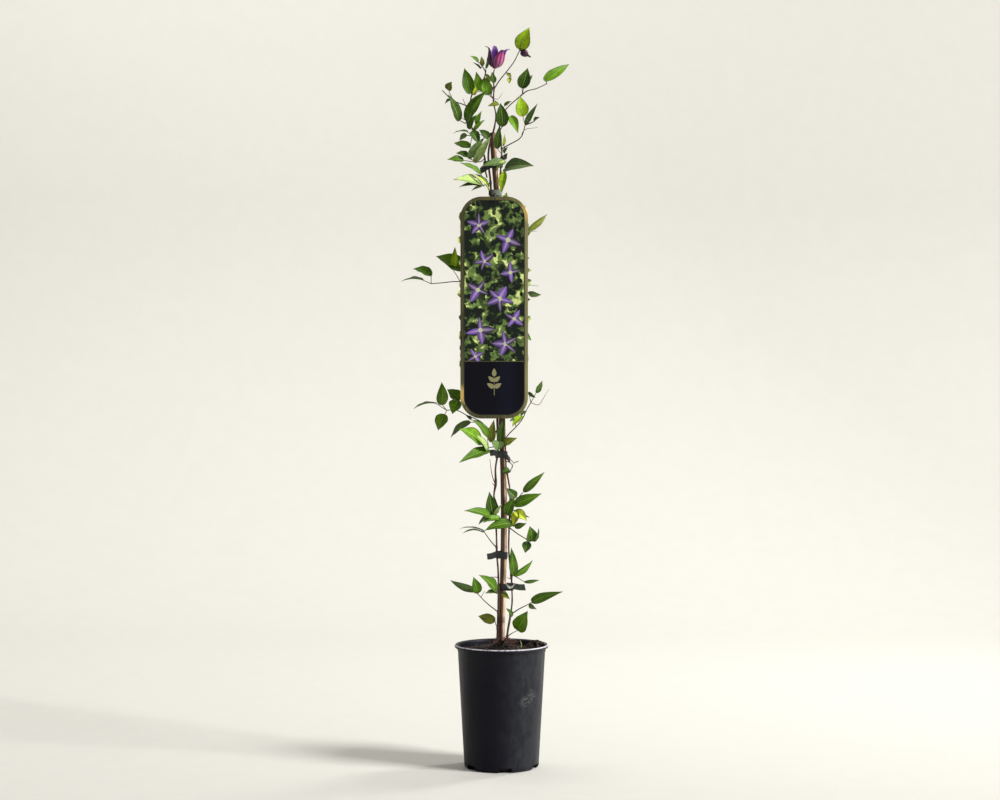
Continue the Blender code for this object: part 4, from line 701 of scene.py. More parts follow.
class Finish(Joining):
    """A material while its nodes are being joined."""

    family = "ShaderNode"

    def __init__(self, name, **values):
        self.material = bpy.data.materials.new(name)
        self.material.use_nodes = True
        self.tree = self.material.node_tree
        self.shader = self.tree.nodes["Principled BSDF"]
        for socket, value in values.items():
            self.feed(self.shader.inputs[socket.replace("_", " ")], value)

    def object_place(self, stretch=(1.0, 1.0, 1.0)):
        """Object coordinates in millimetres, squeezed by a factor along each axis."""
        place = self.node("TexCoord").outputs["Object"]
        factor = [1000.0 * share for share in stretch]
        return self.node("Mapping", {"Vector": place, "Scale": factor}).outputs["Vector"]

    def noise(self, place, scale, detail=4.0, roughness=0.55):
        values = {"Vector": place, "Scale": scale, "Detail": detail, "Roughness": roughness}
        return self.node("TexNoise", values).outputs["Fac"]

    def maths(self, operation, first, second=0.0, third=0.0):
        return self.node("Math", {0: first, 1: second, 2: third}, operation=operation).outputs[0]

    def times(self, first, second):
        return self.maths("MULTIPLY", first, second)

    def vectors(self, operation, first, second, output="Value"):
        return self.node("VectorMath", {0: first, 1: second}, operation=operation).outputs[output]

    def parts(self, vector):
        """The X, Y and Z of a vector."""
        node = self.node("SeparateXYZ", {0: vector})
        return [node.outputs[axis] for axis in "XYZ"]

    def attribute(self, name, output="Fac"):
        return self.node("Attribute", attribute_name=name).outputs[output]

    def smooth(self, value, low, high, out_low=0.0, out_high=1.0):
        """0 at low and 1 at high, or the other way about where low is the larger, eased between them."""
        inputs = {"Value": value, "From Min": low, "From Max": high, "To Min": out_low, "To Max": out_high}
        return self.node("MapRange", inputs, interpolation_type="SMOOTHSTEP").outputs["Result"]

    def mix(self, share, first, second, way="MIX"):
        node = self.node("Mix", data_type="RGBA", blend_type=way, clamp_factor=True)
        for socket, value in zip((0, 6, 7), (share, first, second)):
            ready = isinstance(value, (bpy.types.NodeSocket, float))
            self.feed(node.inputs[socket], value if ready else (*value, 1.0)[:4])
        return node.outputs[2]

    def bump(self, height, strength, distance_mm):
        values = {"Height": height, "Strength": strength, "Distance": distance_mm * MM}
        self.feed(self.shader.inputs["Normal"], self.node("Bump", values).outputs["Normal"])

    def colour(self, value):
        self.feed(self.shader.inputs["Base Color"], value)

    def rough(self, value):
        self.feed(self.shader.inputs["Roughness"], value)


def pot_finish(look):
    """Matt black plastic: fine grain, upright flow lines, dusty mottling that grows toward the right side as
    painted light, a painted highlight along the lip and a scuffed patch.
    """
    made = Finish("black_pot_plastic", Specular_IOR_Level=0.16)
    place = made.object_place()
    x, y, z = made.parts(made.node("TexCoord").outputs["Object"])
    grain = made.noise(place, 0.9, 6.0)
    cloud = made.noise(place, 0.03, 3.0)
    flow = made.noise(made.object_place((1.0, 1.0, 0.03)), 0.22, 3.0)
    smears = made.noise(made.object_place((1.0, 1.0, 0.45)), 0.14, 5.0, 0.7)
    mottle = made.times(made.smooth(cloud, 0.2, 0.6, 0.6, 1.0), made.smooth(smears, 0.38, 0.62, 0.62, 1.3))
    # Dusty mottling, and painted light: the plastic turns grey toward the right-hand side, where the key
    # light falls.
    wander = made.maths("MULTIPLY_ADD", cloud, 0.03, x)
    dust_and_light = made.times(made.smooth(wander, 0.0, 0.06), mottle)
    base = made.mix(dust_and_light, look.colour, look.dusty_and_lit_colour)
    # Painted highlight: a pale line along the top of the lip, where its rounded edge catches the light; the
    # flow noise breaks it up.
    reach = made.maths("SQRT", made.maths("MULTIPLY_ADD", x, x, made.times(y, y)))
    outward = made.smooth(reach, *[(POT_RIM_RADIUS - inset) * MM for inset in LIP_HIGHLIGHT_INSET])
    upward = made.smooth(z, *[(POT_HEIGHT - drop) * MM for drop in LIP_HIGHLIGHT_DROP])
    rubbed_and_highlight = made.times(made.times(outward, upward), made.smooth(flow, 0.3, 0.6, 0.35, 1.0))
    base = made.mix(rubbed_and_highlight, base, look.lip_highlight_colour)
    away = made.vectors("SUBTRACT", place, [part / MM for part in look.scuff_place], "Vector")
    along = made.maths("ABSOLUTE", made.vectors("DOT_PRODUCT", away, SCUFF_ALONG))
    across = made.maths("ABSOLUTE", made.vectors("DOT_PRODUCT", away, SCUFF_ACROSS))
    spots = made.maths("MAXIMUM", along, made.times(across, SCUFF_SLIMNESS))
    patch = made.smooth(spots, look.scuff_radius / MM, 0.7 * look.scuff_radius / MM)
    scuffs = made.noise(made.object_place((0.35, 0.35, 1.4)), 0.55, 5.0, 0.7)
    worn = made.times(made.smooth(scuffs, 0.48, 0.60), patch)
    made.colour(made.mix(made.times(worn, 0.5), base, look.scuff_colour))
    made.rough(made.smooth(made.maths("ADD", flow, made.times(worn, 0.3)), 0.2, 1.0, 0.36, 0.62))
    made.bump(made.maths("ADD", grain, made.times(flow, 0.6)), 0.22, 0.25)
    return made.material


def compost_finish():
    """Dark moist bark fines, from nearly black to red-brown."""
    made = Finish("bark_compost", Specular_IOR_Level=0.3)
    place = made.object_place()
    lumps = made.noise(place, 0.28, 8.0, 0.7)
    patches = made.noise(place, 0.07, 2.0)
    dark = made.mix(made.smooth(patches, 0.35, 0.7), (0.004, 0.003, 0.003), (0.016, 0.009, 0.006))
    made.colour(made.mix(made.smooth(lumps, 0.55, 0.8), dark, (0.060, 0.032, 0.020)))
    made.rough(made.smooth(lumps, 0.3, 0.7, 0.7, 0.98))
    made.bump(lumps, 0.9, 1.2)
    return made.material


def chip_finish():
    """Bark chips, each lighter or darker, with grain along them."""
    made = Finish("bark_chip", Specular_IOR_Level=0.3)
    place = made.object_place()
    each = made.noise(place, 0.16, 1.0)
    grain = made.noise(place, 1.4, 4.0)
    base = made.mix(made.smooth(each, 0.40, 0.72), (0.005, 0.004, 0.004), (0.046, 0.024, 0.017))
    streaks = made.times(made.smooth(grain, 0.4, 0.7), 0.4)
    made.colour(made.mix(streaks, base, (0.13, 0.085, 0.060)))
    made.rough(0.88)
    made.bump(grain, 0.6, 0.4)
    return made.material


def bamboo_finish(look):
    """Dry tan bamboo: long grain, patches of brown weathering, painted shade down its left side and darker
    rings at the knots.
    """
    made = Finish("bamboo", Specular_IOR_Level=0.5)
    grain = made.noise(made.object_place((1.0, 1.0, 0.012)), 1.5, 4.0)
    weather = made.noise(made.object_place((0.5, 0.5, 0.02)), 0.5, 5.0, 0.65)
    mottle = made.noise(made.object_place((1.0, 1.0, 0.3)), 0.35, 5.0, 0.7)
    brown = look.weathered_and_shade_colour
    base = made.mix(made.smooth(grain, 0.35, 0.7), look.colour, look.pale_colour)
    base = made.mix(made.smooth(weather, 0.46, 0.72), base, brown)
    base = made.mix(made.times(made.smooth(mottle, 0.55, 0.75), 0.5), base, brown)
    # Painted shade: the cane's left side, with some weathered streaks, turns dark brown.
    side = made.maths("MULTIPLY_ADD", weather, 1.3, made.attribute("weather_side"))
    dark = made.mix(made.smooth(grain, 0.45, 0.7), shaded(brown, 0.35), brown)
    base = made.mix(made.smooth(side, 0.22, 0.5, 0.0, 0.93), base, dark)
    made.colour(made.mix(made.times(made.attribute("knot"), 0.75), base, (0.09, 0.045, 0.025)))
    made.rough(made.smooth(weather, 0.3, 0.8, 0.38, 0.7))
    made.bump(grain, 0.25, 0.2)
    return made.material


def bark_finish():
    """Thin fibrous bark that peels in long strips."""
    made = Finish("stem_bark", Specular_IOR_Level=0.35)
    strips = made.noise(made.object_place((1.0, 1.0, 0.05)), 2.2, 5.0, 0.65)
    patches = made.noise(made.object_place((1.0, 1.0, 0.4)), 0.12, 3.0)
    tint = made.attribute("tint", "Color")
    dark = made.mix(0.78, tint, (0.02, 0.011, 0.009))
    pale = made.mix(0.7, tint, (0.50, 0.38, 0.32))
    base = made.mix(made.smooth(strips, 0.36, 0.66), dark, tint)
    made.colour(made.mix(made.times(made.smooth(patches, 0.52, 0.72), 0.55), base, pale))
    made.rough(0.75)
    made.bump(strips, 0.7, 0.35)
    return made.material


def leaf_finish():
    """A satin leaf: a midrib, pale veins and a finer net, one half darkened as painted shade, and a paler
    underside.
    """
    made = Finish("clematis_leaf", Specular_IOR_Level=0.16)
    tint = made.attribute("tint", "Color")
    underside = made.attribute("tint", "Alpha")
    along, over, _ = made.parts(made.node("TexCoord").outputs["UV"])
    across = made.maths("ABSOLUTE", made.maths("MULTIPLY_ADD", over, 2.0, -1.0))
    midrib = made.smooth(across, 0.13, 0.02)
    vein = made.smooth(made.maths("PINGPONG", across, LEAF_VEIN_SHARE / 2), 0.085, 0.0)
    slant = made.maths("MULTIPLY_ADD", across, 2.2, made.times(along, 7.0))
    net = made.smooth(made.maths("PINGPONG", slant, 0.5), 0.13, 0.0)
    fainter = made.maths("MAXIMUM", made.times(vein, 0.45), made.times(net, 0.28))
    lines = made.maths("MAXIMUM", midrib, fainter)
    blotch = made.noise(made.object_place(), 0.22, 4.0)
    fine = made.noise(made.object_place(), 1.6, 3.0)
    body = made.mix(made.smooth(blotch, 0.3, 0.7), tint, (0.42, 0.50, 0.32), "MULTIPLY")
    body = made.mix(made.smooth(blotch, 0.35, 0.7, 0.75, 0.15), body, tint)
    # Painted shade: one half of each blade, across the midrib, is darkened.
    half = made.smooth(over, 0.44, 0.52, 0.0, 0.55)
    body = made.mix(half, body, (0.48, 0.56, 0.50), "MULTIPLY")
    veined = made.mix(made.times(lines, 0.5), body, (0.40, 0.55, 0.12))
    under = made.mix(0.24, veined, (0.17, 0.25, 0.09))
    made.colour(made.mix(underside, veined, under))
    made.rough(made.smooth(underside, 0.0, 1.0, 0.46, 0.66))
    made.bump(made.maths("MULTIPLY_ADD", lines, -0.8, made.times(fine, 0.5)), 0.35, 0.3)
    return made.material


def stalk_finish():
    """Green stalks with a brown or purple flush."""
    made = Finish("green_stalk", Specular_IOR_Level=0.4)
    tint = made.attribute("tint", "Color")
    flush = made.noise(made.object_place(), 0.09, 3.0)
    made.colour(made.mix(made.smooth(flush, 0.4, 0.7), tint, (0.075, 0.035, 0.030)))
    made.rough(0.5)
    made.bump(made.noise(made.object_place((1.0, 1.0, 0.2)), 2.0), 0.3, 0.15)
    return made.material


def petal_finish():
    """Soft velvet petal whose colour is painted on it, with fine lines from base to tip."""
    made = Finish("clematis_petal", Specular_IOR_Level=0.35, Sheen_Weight=0.25, Sheen_Roughness=0.4)
    tint = made.attribute("tint", "Color")
    over = made.parts(made.node("TexCoord").outputs["UV"])[1]
    wander = made.noise(made.object_place(), 0.25, 3.0)
    lines = made.maths("PINGPONG", made.maths("MULTIPLY_ADD", wander, 0.06, over), 0.035)
    line = made.smooth(lines, 0.012, 0.0)
    made.colour(made.mix(made.times(line, 0.35), tint, (0.045, 0.004, 0.060)))
    made.rough(0.52)
    made.bump(made.maths("MULTIPLY_ADD", line, -1.0, wander), 0.3, 0.25)
    return made.material


def painted_finish(name, roughness, specular=0.5, metallic=0.0, grain=0.6):
    """A finish whose colour is painted on the piece, with a light unevenness."""
    made = Finish(name, Specular_IOR_Level=specular, Metallic=metallic)
    tint = made.attribute("tint", "Color")
    uneven = made.noise(made.object_place(), 0.5, 4.0)
    made.colour(made.mix(made.smooth(uneven, 0.25, 0.8, 0.0, 0.35), tint, (0.6, 0.6, 0.6), "MULTIPLY"))
    made.rough(made.smooth(uneven, 0.2, 0.8, roughness * 0.85, min(1.0, roughness * 1.2)))
    made.bump(uneven, 0.15, grain)
    return made.material


def tape_finish():
    """Garden tape with a soft shine, creases and grey worn spots."""
    made = Finish("tying_tape", Specular_IOR_Level=0.5)
    tint = made.attribute("tint", "Color")
    crease = made.noise(made.object_place((1.0, 1.0, 2.5)), 0.35, 5.0, 0.7)
    rubbed_and_highlight = made.noise(made.object_place(), 0.9, 4.0)
    rubbed_and_highlight = made.times(made.smooth(rubbed_and_highlight, 0.55, 0.8), 0.3)
    made.colour(made.mix(rubbed_and_highlight, tint, (0.16, 0.17, 0.16)))
    made.rough(made.smooth(crease, 0.3, 0.7, 0.28, 0.55))
    made.bump(crease, 0.7, 0.6)
    return made.material


def print_ground_finish():
    """The printed picture's ground: shadows and blurred leaves in greens and yellows."""
    made = Finish("printed_ground", Specular_IOR_Level=0.3)
    place = made.object_place((1.0, 0.05, 1.0))
    cells = made.node("TexVoronoi", {"Vector": place, "Scale": 0.13, "Randomness": 1.0})
    split = made.node("SeparateColor", {0: cells.outputs["Color"]})
    blur = made.noise(place, 0.08, 5.0, 0.65)
    base = made.mix(made.smooth(split.outputs["Red"], 0.2, 0.9), (0.008, 0.016, 0.007), (0.060, 0.120, 0.030))
    made.colour(made.mix(made.smooth(blur, 0.5, 0.72), base, (0.12, 0.18, 0.06)))
    made.rough(0.42)
    made.bump(blur, 0.05, 0.2)
    return made.material


def border_finish():
    """Olive-gold metallic print with a brushed look: painted shade to the left, a painted highlight to the
    right and two painted glints.
    """
    made = Finish("metallic_border", Metallic=0.75, Specular_IOR_Level=0.5)
    brushed = made.noise(made.object_place((1.0, 1.0, 0.02)), 1.2, 4.0)
    band = made.noise(made.object_place(), 0.02, 2.0)
    base = made.mix(made.smooth(band, 0.35, 0.7), (0.120, 0.115, 0.055), (0.300, 0.280, 0.105))
    across = made.parts(made.object_place())[0]
    # Painted shade on the left of the border, and a painted highlight on its right.
    base = made.mix(made.smooth(across, -52.0, 34.0, 0.75, 0.0), base, (0.30, 0.30, 0.30), "MULTIPLY")
    base = made.mix(made.smooth(across, 30.0, 42.0, 0.0, 0.6), base, (0.52, 0.50, 0.24))
    # Painted glints where the border catches the light.
    for spot in BORDER_GLINTS:
        away = made.vectors("DISTANCE", made.object_place(), spot)
        base = made.mix(made.smooth(away, 19.0, 4.0), base, (0.95, 0.66, 0.20))
    streaks = made.times(made.smooth(brushed, 0.4, 0.7), 0.3)
    made.colour(made.mix(streaks, base, (0.40, 0.37, 0.20)))
    made.rough(made.smooth(brushed, 0.3, 0.7, 0.34, 0.48))
    made.bump(brushed, 0.08, 0.1)
    return made.material


def clear_tape_finish():
    """Cloudy clear plastic."""
    made = Finish("clear_tape", Transmission_Weight=0.55, IOR=1.45, Specular_IOR_Level=0.5)
    cloud = made.noise(made.object_place(), 0.5, 3.0)
    made.colour(made.mix(made.smooth(cloud, 0.3, 0.7), (0.62, 0.64, 0.54), (0.85, 0.86, 0.78)))
    made.rough(made.smooth(cloud, 0.3, 0.7, 0.2, 0.5))
    made.bump(cloud, 0.4, 0.4)
    return made.material


def printed_leaf_finish():
    """Printed leaves: each in its own green, from deep shade to bright yellow-green."""
    made = Finish("printed_leaves", Specular_IOR_Level=0.3)
    shade = made.attribute("shade")
    light = made.noise(made.object_place((1.0, 0.05, 1.0)), 0.045, 3.0, 0.6)
    fine = made.noise(made.object_place((1.0, 0.05, 1.0)), 0.6, 3.0)
    own = made.times(shade, 0.60)
    bright = made.maths("MULTIPLY_ADD", made.smooth(light, 0.40, 0.62), 0.42, own)
    low = made.mix(made.smooth(bright, 0.36, 0.72), (0.005, 0.010, 0.006), (0.150, 0.240, 0.060))
    high = made.mix(made.smooth(bright, 0.68, 0.90), low, (0.78, 0.86, 0.32))
    made.colour(made.mix(made.smooth(fine, 0.45, 0.7, 0.0, 0.5), high, (0.3, 0.36, 0.2), "MULTIPLY"))
    made.rough(0.42)
    made.bump(fine, 0.04, 0.1)
    return made.material


def floor_finish(look):
    """Pale studio paper."""
    made = Finish("studio_paper", Roughness=0.95, Specular_IOR_Level=0.1)
    fibres = made.noise(made.object_place(), 0.02, 3.0)
    darker = shaded(look.floor_colour, 0.985)
    made.colour(made.mix(made.smooth(fibres, 0.3, 0.7), look.floor_colour, darker))
    return made.material


class Growing(Joining):
    """A Geometry Nodes tree while its nodes are being joined."""

    def __init__(self, name):
        self.tree = bpy.data.node_groups.new(name, "GeometryNodeTree")
        self.inlet = self.tree.nodes.new("NodeGroupInput")
        self.outlet = self.tree.nodes.new("NodeGroupOutput")
        self.tree.interface.new_socket("Geometry", in_out="INPUT", socket_type="NodeSocketGeometry")
        self.tree.interface.new_socket("Geometry", in_out="OUTPUT", socket_type="NodeSocketGeometry")
        self.values = {}

    def ask(self, name, kind, value):
        """A named input of the tree, and the value that the piece gives it."""
        socket = self.tree.interface.new_socket(name, in_out="INPUT", socket_type="NodeSocket" + kind)
        self.values[socket.identifier] = value
        return self.inlet.outputs[name]

    def chance(self, kind, low, high, seed):
        """A random value for each point: a float, an integer or a vector between two."""
        node = self.node("FunctionNodeRandomValue", data_type=kind)
        named = {"Min": low, "Max": high, "Seed": seed}
        for socket in node.inputs:
            if socket.enabled and socket.name in named:
                self.feed(socket, named[socket.name])
        return next(socket for socket in node.outputs if socket.enabled)

    def spin(self, seed):
        """A random turn about each point's own upright."""
        angle = self.chance("FLOAT", 0.0, 6.283, seed)
        turn = self.node("ShaderNodeCombineXYZ", {"Z": angle})
        return self.node("FunctionNodeEulerToRotation", {0: turn.outputs[0]}).outputs[0]

    def leaf_scale(self, low, high, seed):
        """A random size across, with the thickness kept."""
        size = self.chance("FLOAT", low, high, seed)
        return self.node("ShaderNodeCombineXYZ", {"X": size, "Y": size, "Z": 1.0}).outputs[0]

    def grown(self, carrier, geometry, material):
        """The carrier as a plain mesh after the tree, whose last steps make it real and give its finish."""
        solid = self.node("GeometryNodeRealizeInstances", {"Geometry": geometry})
        finish = self.ask("Finish", "Material", material)
        dressed = self.node("GeometryNodeSetMaterial", {"Geometry": solid.outputs[0], "Material": finish})
        self.tree.links.new(dressed.outputs[0], self.outlet.inputs[0])
        modifier = carrier.modifiers.new(self.tree.name, "NODES")
        modifier.node_group = self.tree
        for identifier, value in self.values.items():
            modifier[identifier] = value
        return settled(carrier)


def pot_outer_radius(z):
    """Radius of the pot's straight side at a height in millimetres."""
    top = POT_HEIGHT - POT_LIP[-1][1]
    share = (z - POT_CORNER_HEIGHT) / (top - POT_CORNER_HEIGHT)
    return POT_LOW_RADIUS + (POT_TOP_RADIUS - POT_LOW_RADIUS) * share


def make_pot(look):
    """The pot turned in one, its edges rounded and the drain slots cut through its foot."""
    lip = [(POT_RIM_RADIUS - inset, POT_HEIGHT - drop) for inset, drop in POT_LIP]
    inner = [(0.0, POT_FLOOR), (POT_FOOT_RADIUS - POT_WALL, POT_FLOOR)]
    inner += [(pot_outer_radius(z) - POT_WALL, z) for z in (POT_CORNER_HEIGHT, 60.0, 120.0, lip[4][1])]
    outer = [(pot_outer_radius(z), z) for z in (140.0, 75.0, POT_CORNER_HEIGHT)]
    foot = arc((POT_FOOT_RADIUS, POT_CORNER_RADIUS), POT_CORNER_RADIUS, -20, -90, 4)
    profile = inner + lip + outer + foot + [(0.0, 0.0)]
    pot = loose_object("pot_plastic", turned_mesh("pot_plastic", profile, look.sides))
    rounding = pot.modifiers.new("rounding", "BEVEL")
    rounding.width = look.edge_rounding
    rounding.segments = 2
    rounding.angle_limit = math.radians(25)
    cutters = bmesh.new()
    size = Vector((SLOT_SIZE[0], SLOT_SIZE[1], SLOT_SIZE[2] + SLOT_OVERRUN)) * MM
    for number in range(SLOT_COUNT):
        turn = math.radians(-90 + SLOT_TURN + number * 360 / SLOT_COUNT)
        for vertex in bmesh.ops.create_cube(cutters, size=1.0)["verts"]:
            vertex.co = Vector([vertex.co[axis] * size[axis] for axis in range(3)])
            vertex.co.x += SLOT_MIDDLE_RADIUS * MM
            vertex.co.z += (SLOT_SIZE[2] - SLOT_OVERRUN) / 2 * MM
            vertex.co.rotate(Quaternion((0, 0, 1), turn))
    mesh = bpy.data.meshes.new("slots")
    cutters.to_mesh(mesh)
    cutters.free()
    slots = loose_object("slots", mesh)
    cut = pot.modifiers.new("drain slots", "BOOLEAN")
    cut.operation = "DIFFERENCE"
    cut.object = slots
    cut.solver = "EXACT"
    pot.data.materials.append(pot_finish(look))
    pot = settled(pot)
    bpy.data.objects.remove(slots)
    seat(pot, "pot", "pot")


def soil_height(x, y):
    """Top of the compost in millimetres."""
    height = SOIL_LEVEL
    for middle_x, middle_y, rise, radius in SOIL_HEAPS:
        height += rise * math.exp(-((x - middle_x) ** 2 + (y - middle_y) ** 2) / radius**2)
    for rise, along_x, along_y in SOIL_WAVES:
        height += rise * math.sin(along_x * x + 1.0) * math.cos(along_y * y)
    return height


def make_compost_bed(look):
    """A bed of fines that fills the pot to its level; its top is heaped and crumbled."""
    edge = pot_outer_radius(SOIL_LEVEL) - POT_WALL - BED_GAP
    top = [(edge * i / BED_RINGS, SOIL_LEVEL) for i in range(BED_RINGS + 1)]
    wall = [(pot_outer_radius(z) - POT_WALL - BED_GAP, z) for z in (SOIL_LEVEL - BED_SHOULDER, BED_WALL_END)]
    foot = [(radius, POT_FLOOR + BED_FOOT_GAP) for radius in (BED_FOOT_RADIUS, 0.0)]
    mesh = turned_mesh("compost_bed", top + wall + foot, BED_SIDES)
    for vertex in mesh.vertices:
        if vertex.co.z > (SOIL_LEVEL - 0.01) * MM:
            x, y = vertex.co.x / MM, vertex.co.y / MM
            crumb = noise.fractal(Vector((x, y, 3.0)) * 0.21, 0.9, 2.1, 5)
            vertex.co.z = (soil_height(x, y) + look.crumb_height / MM * crumb) * MM
    mesh.materials.append(compost_finish())
    seat(add_piece("compost_bed", mesh), "compost", "soil")
    return mesh


def strew_chips(bed, look):
    """Knocked, uneven bark chips over the top of the bed."""
    cap = bmesh.new()
    cap.from_mesh(bed)
    under = [vertex for vertex in cap.verts if vertex.co.z < (SOIL_LEVEL - CHIP_DEPTH) * MM]
    bmesh.ops.delete(cap, geom=under, context="VERTS")
    carrier = bpy.data.meshes.new("bark_chips")
    cap.to_mesh(carrier)
    cap.free()
    tree = Growing("bark chips")
    seed = tree.ask("Seed", "Int", look.seed)
    density = tree.ask("Chips per square metre", "Float", look.chips_per_square_metre)
    small = tree.ask("Smallest chip", "Vector", [0.2 * side for side in look.largest_chip])
    large = tree.ask("Largest chip", "Vector", look.largest_chip)
    strewn = tree.node("GeometryNodeDistributePointsOnFaces", {
        "Mesh": tree.inlet.outputs[0], "Density": density, "Seed": seed,
    })
    chip = tree.node("GeometryNodeMeshIcoSphere", {"Radius": 1.0, "Subdivisions": 1})
    rough = tree.node("ShaderNodeTexNoise", {"Scale": 1.7, "Detail": 1.0})
    dent = tree.node("ShaderNodeVectorMath", {
        0: rough.outputs["Color"], 1: (-0.5, -0.5, -0.5),
    }, operation="ADD")
    knocked = tree.node("GeometryNodeSetPosition", {
        "Geometry": chip.outputs["Mesh"], "Offset": dent.outputs[0],
    })
    laid = tree.node("GeometryNodeInstanceOnPoints", {
        "Points": strewn.outputs["Points"], "Instance": knocked.outputs[0],
        "Rotation": tree.chance("FLOAT_VECTOR", (-0.5, -0.5, 0.0), (0.5, 0.5, 6.28), seed),
        "Scale": tree.chance("FLOAT_VECTOR", small, large, seed),
    })
    chips = tree.grown(loose_object("bark_chips", carrier), laid.outputs[0], chip_finish())
    seat(chips, "compost")


def heap_crumbs(look):
    """Crumbs heaped against the rim at the back right, highest in the middle of the heap."""
    heap = Gathering()
    chance = random.Random(look.seed)
    for _ in range(look.heaped_crumbs):
        turn, reach = chance.uniform(*HEAP_TURN), chance.uniform(*HEAP_REACH)
        angle = math.radians(turn)
        x, y = reach * math.cos(angle), reach * math.sin(angle)
        low = soil_height(x, y)
        inward = 1 - abs(turn - sum(HEAP_TURN) / 2) / HEAP_SLOPE
        z = low + (POT_HEIGHT + HEAP_RISE - low) * chance.random() * inward
        middle = Vector((x, y, max(low, z)))
        lean = Vector((chance.uniform(-1, 1), chance.uniform(-1, 1), chance.uniform(-0.4, 0.5))).normalized()
        size = chance.uniform(1.2, 3.2)
        points = [(middle + lean * size * step) * MM for step in (-1, -0.6, 0.5, 1)]
        rod(heap, points, [r * size * MM for r in (0.2, 0.6, 0.7, 0.25)], 5, 0, CRUMB_COLOUR)
    seat(heap.made("heaped_crumbs", [chip_finish()]), "compost")


def grow_sprout(look):
    """A pale sprout that comes up beside the plant."""
    x, y = SPROUT
    foot = soil_height(x, y)
    curve = smoothed([(x + aside, y, foot + rise) for aside, rise in SPROUT_BENDS], 1.5)
    sprout = Gathering()
    tapered_rod(sprout, in_metres(curve), SPROUT_RADII, 8, 0, look.sprout_colour)
    seat(sprout.made("sprout", [stalk_finish()]), "compost")


def make_cane(look):
    """The cane follows its path, with a ring at each knot and a slow change of thickness."""
    path = smoothed(CANE_PATH, 2.0)
    mesh = bpy.data.meshes.new("bamboo_cane")
    mesh.from_pydata([placed(point) for point in path], [(i, i + 1) for i in range(len(path) - 1)], [])
    bulge = mesh.attributes.new("thickness", "FLOAT", "POINT")
    knot = mesh.attributes.new("knot", "FLOAT", "POINT")
    for number, point in enumerate(path):
        near = min(abs(point[2] - height) for height in CANE_KNOTS)
        swell = math.exp(-((near / KNOT_SWELLING) ** 2)) - 0.5 * math.exp(-((near / KNOT_GROOVE) ** 2))
        uneven = noise.noise(Vector((0.0, 0.0, point[2] * 0.02)))
        thinner = 0.06 * point[2] / CANE_PATH[-1][2]
        bulge.data[number].value = 1.0 - thinner + 0.09 * swell + 0.03 * uneven
        knot.data[number].value = math.exp(-((near / KNOT_RING) ** 2))
    tree = Growing("cane along its path")
    radius = tree.ask("Radius", "Float", look.radius)
    sides = tree.ask("Sides", "Int", look.sides)
    line = tree.node("GeometryNodeMeshToCurve", {"Mesh": tree.inlet.outputs[0]})
    swollen = tree.node("GeometryNodeInputNamedAttribute", {"Name": "thickness"}, data_type="FLOAT")
    sized = tree.node("GeometryNodeSetCurveRadius", {
        "Curve": line.outputs[0], "Radius": swollen.outputs["Attribute"],
    })
    ring = tree.node("GeometryNodeCurvePrimitiveCircle", {"Resolution": sides, "Radius": radius})
    tube = tree.node("GeometryNodeCurveToMesh", {
        "Curve": sized.outputs[0], "Profile Curve": ring.outputs["Curve"], "Fill Caps": True,
    })
    # Store how far each point faces left, for the painted shade on the cane's left side.
    outward = tree.node("ShaderNodeSeparateXYZ", {0: tree.node("GeometryNodeInputNormal").outputs[0]})
    left = tree.node("ShaderNodeMath", {0: outward.outputs["X"], 1: -1.0}, operation="MULTIPLY")
    sided = tree.node("GeometryNodeStoreNamedAttribute", {
        "Geometry": tube.outputs[0], "Name": "weather_side", "Value": left.outputs[0],
    }, data_type="FLOAT", domain="POINT")
    cane = tree.grown(loose_object("bamboo_cane", mesh), sided.outputs[0], bamboo_finish(look))
    seat(cane, "bamboo", "cane")


def make_stems(look):
    """Three woody stems, thicker at each joint, and the fine roots at their foot."""
    bark = bark_finish()
    for name, path in STEMS.items():
        gathering = Gathering()
        curve = smoothed(path, 2.0)
        joints = [shoot[1] for shoot in SHOOTS.values() if shoot[0] == name]
        radii = []
        for point in curve:
            near = min(abs(point[2] - height) for height in joints)
            swell = look.joint_swelling * math.exp(-((near / JOINT_REACH) ** 2))
            uneven = noise.noise(Vector((path[0][0], 0.0, point[2] * 0.07)))
            radii.append(point[3] * (1 + swell + 0.14 * uneven) * MM)
        rod(gathering, [placed(point) for point in curve], radii, 14, 0, look.bark_colour, 5, 0.09)
        for stub in STUBS[name]:
            reach = [placed(point) for point in smoothed(stub, 3.0)]
            tapered_rod(gathering, reach, STUB_RADII, 8, 0, look.bark_colour)
        seat(gathering.made(name + "_bark", [bark]), "bark", name)
    make_fine_roots(look, bark)


def make_fine_roots(look, bark):
    """Dry roots that wander over the compost from the stems' foot, each thinner towards its end."""
    gathering = Gathering()
    chance = random.Random(look.seed)
    for _ in range(look.root_count):
        angle = chance.uniform(0, 2 * math.pi)
        x, y = chance.uniform(-7, 12), chance.uniform(-8, 1)
        z = soil_height(x, y) + chance.uniform(1, 9)
        points, radius = [], chance.uniform(0.22, 0.5)
        for _ in range(ROOT_STEPS):
            points.append(Vector((x, y, z)) * MM)
            angle += chance.uniform(-0.5, 0.5)
            x += math.cos(angle) * ROOT_STEP
            y += math.sin(angle) * ROOT_STEP
            z = max(z - chance.uniform(0.2, 1.6), soil_height(x, y) + 0.3)
        thick = [radius * (1 - 0.07 * i) * MM for i in range(ROOT_STEPS)]
        rod(gathering, points, thick, 5, 0, look.root_colour)
    seat(gathering.made("fine_roots", [bark]), "bark")


def leaf_places():
    """How far each point of a blade lies along it, from 0 to 1, and across it, from -1 to 1."""
    along, across = np.linspace(0, 1, LEAF_ROWS) ** 1.25, np.linspace(-1, 1, LEAF_COLUMNS)
    return np.meshgrid(along, across, indexing="ij")


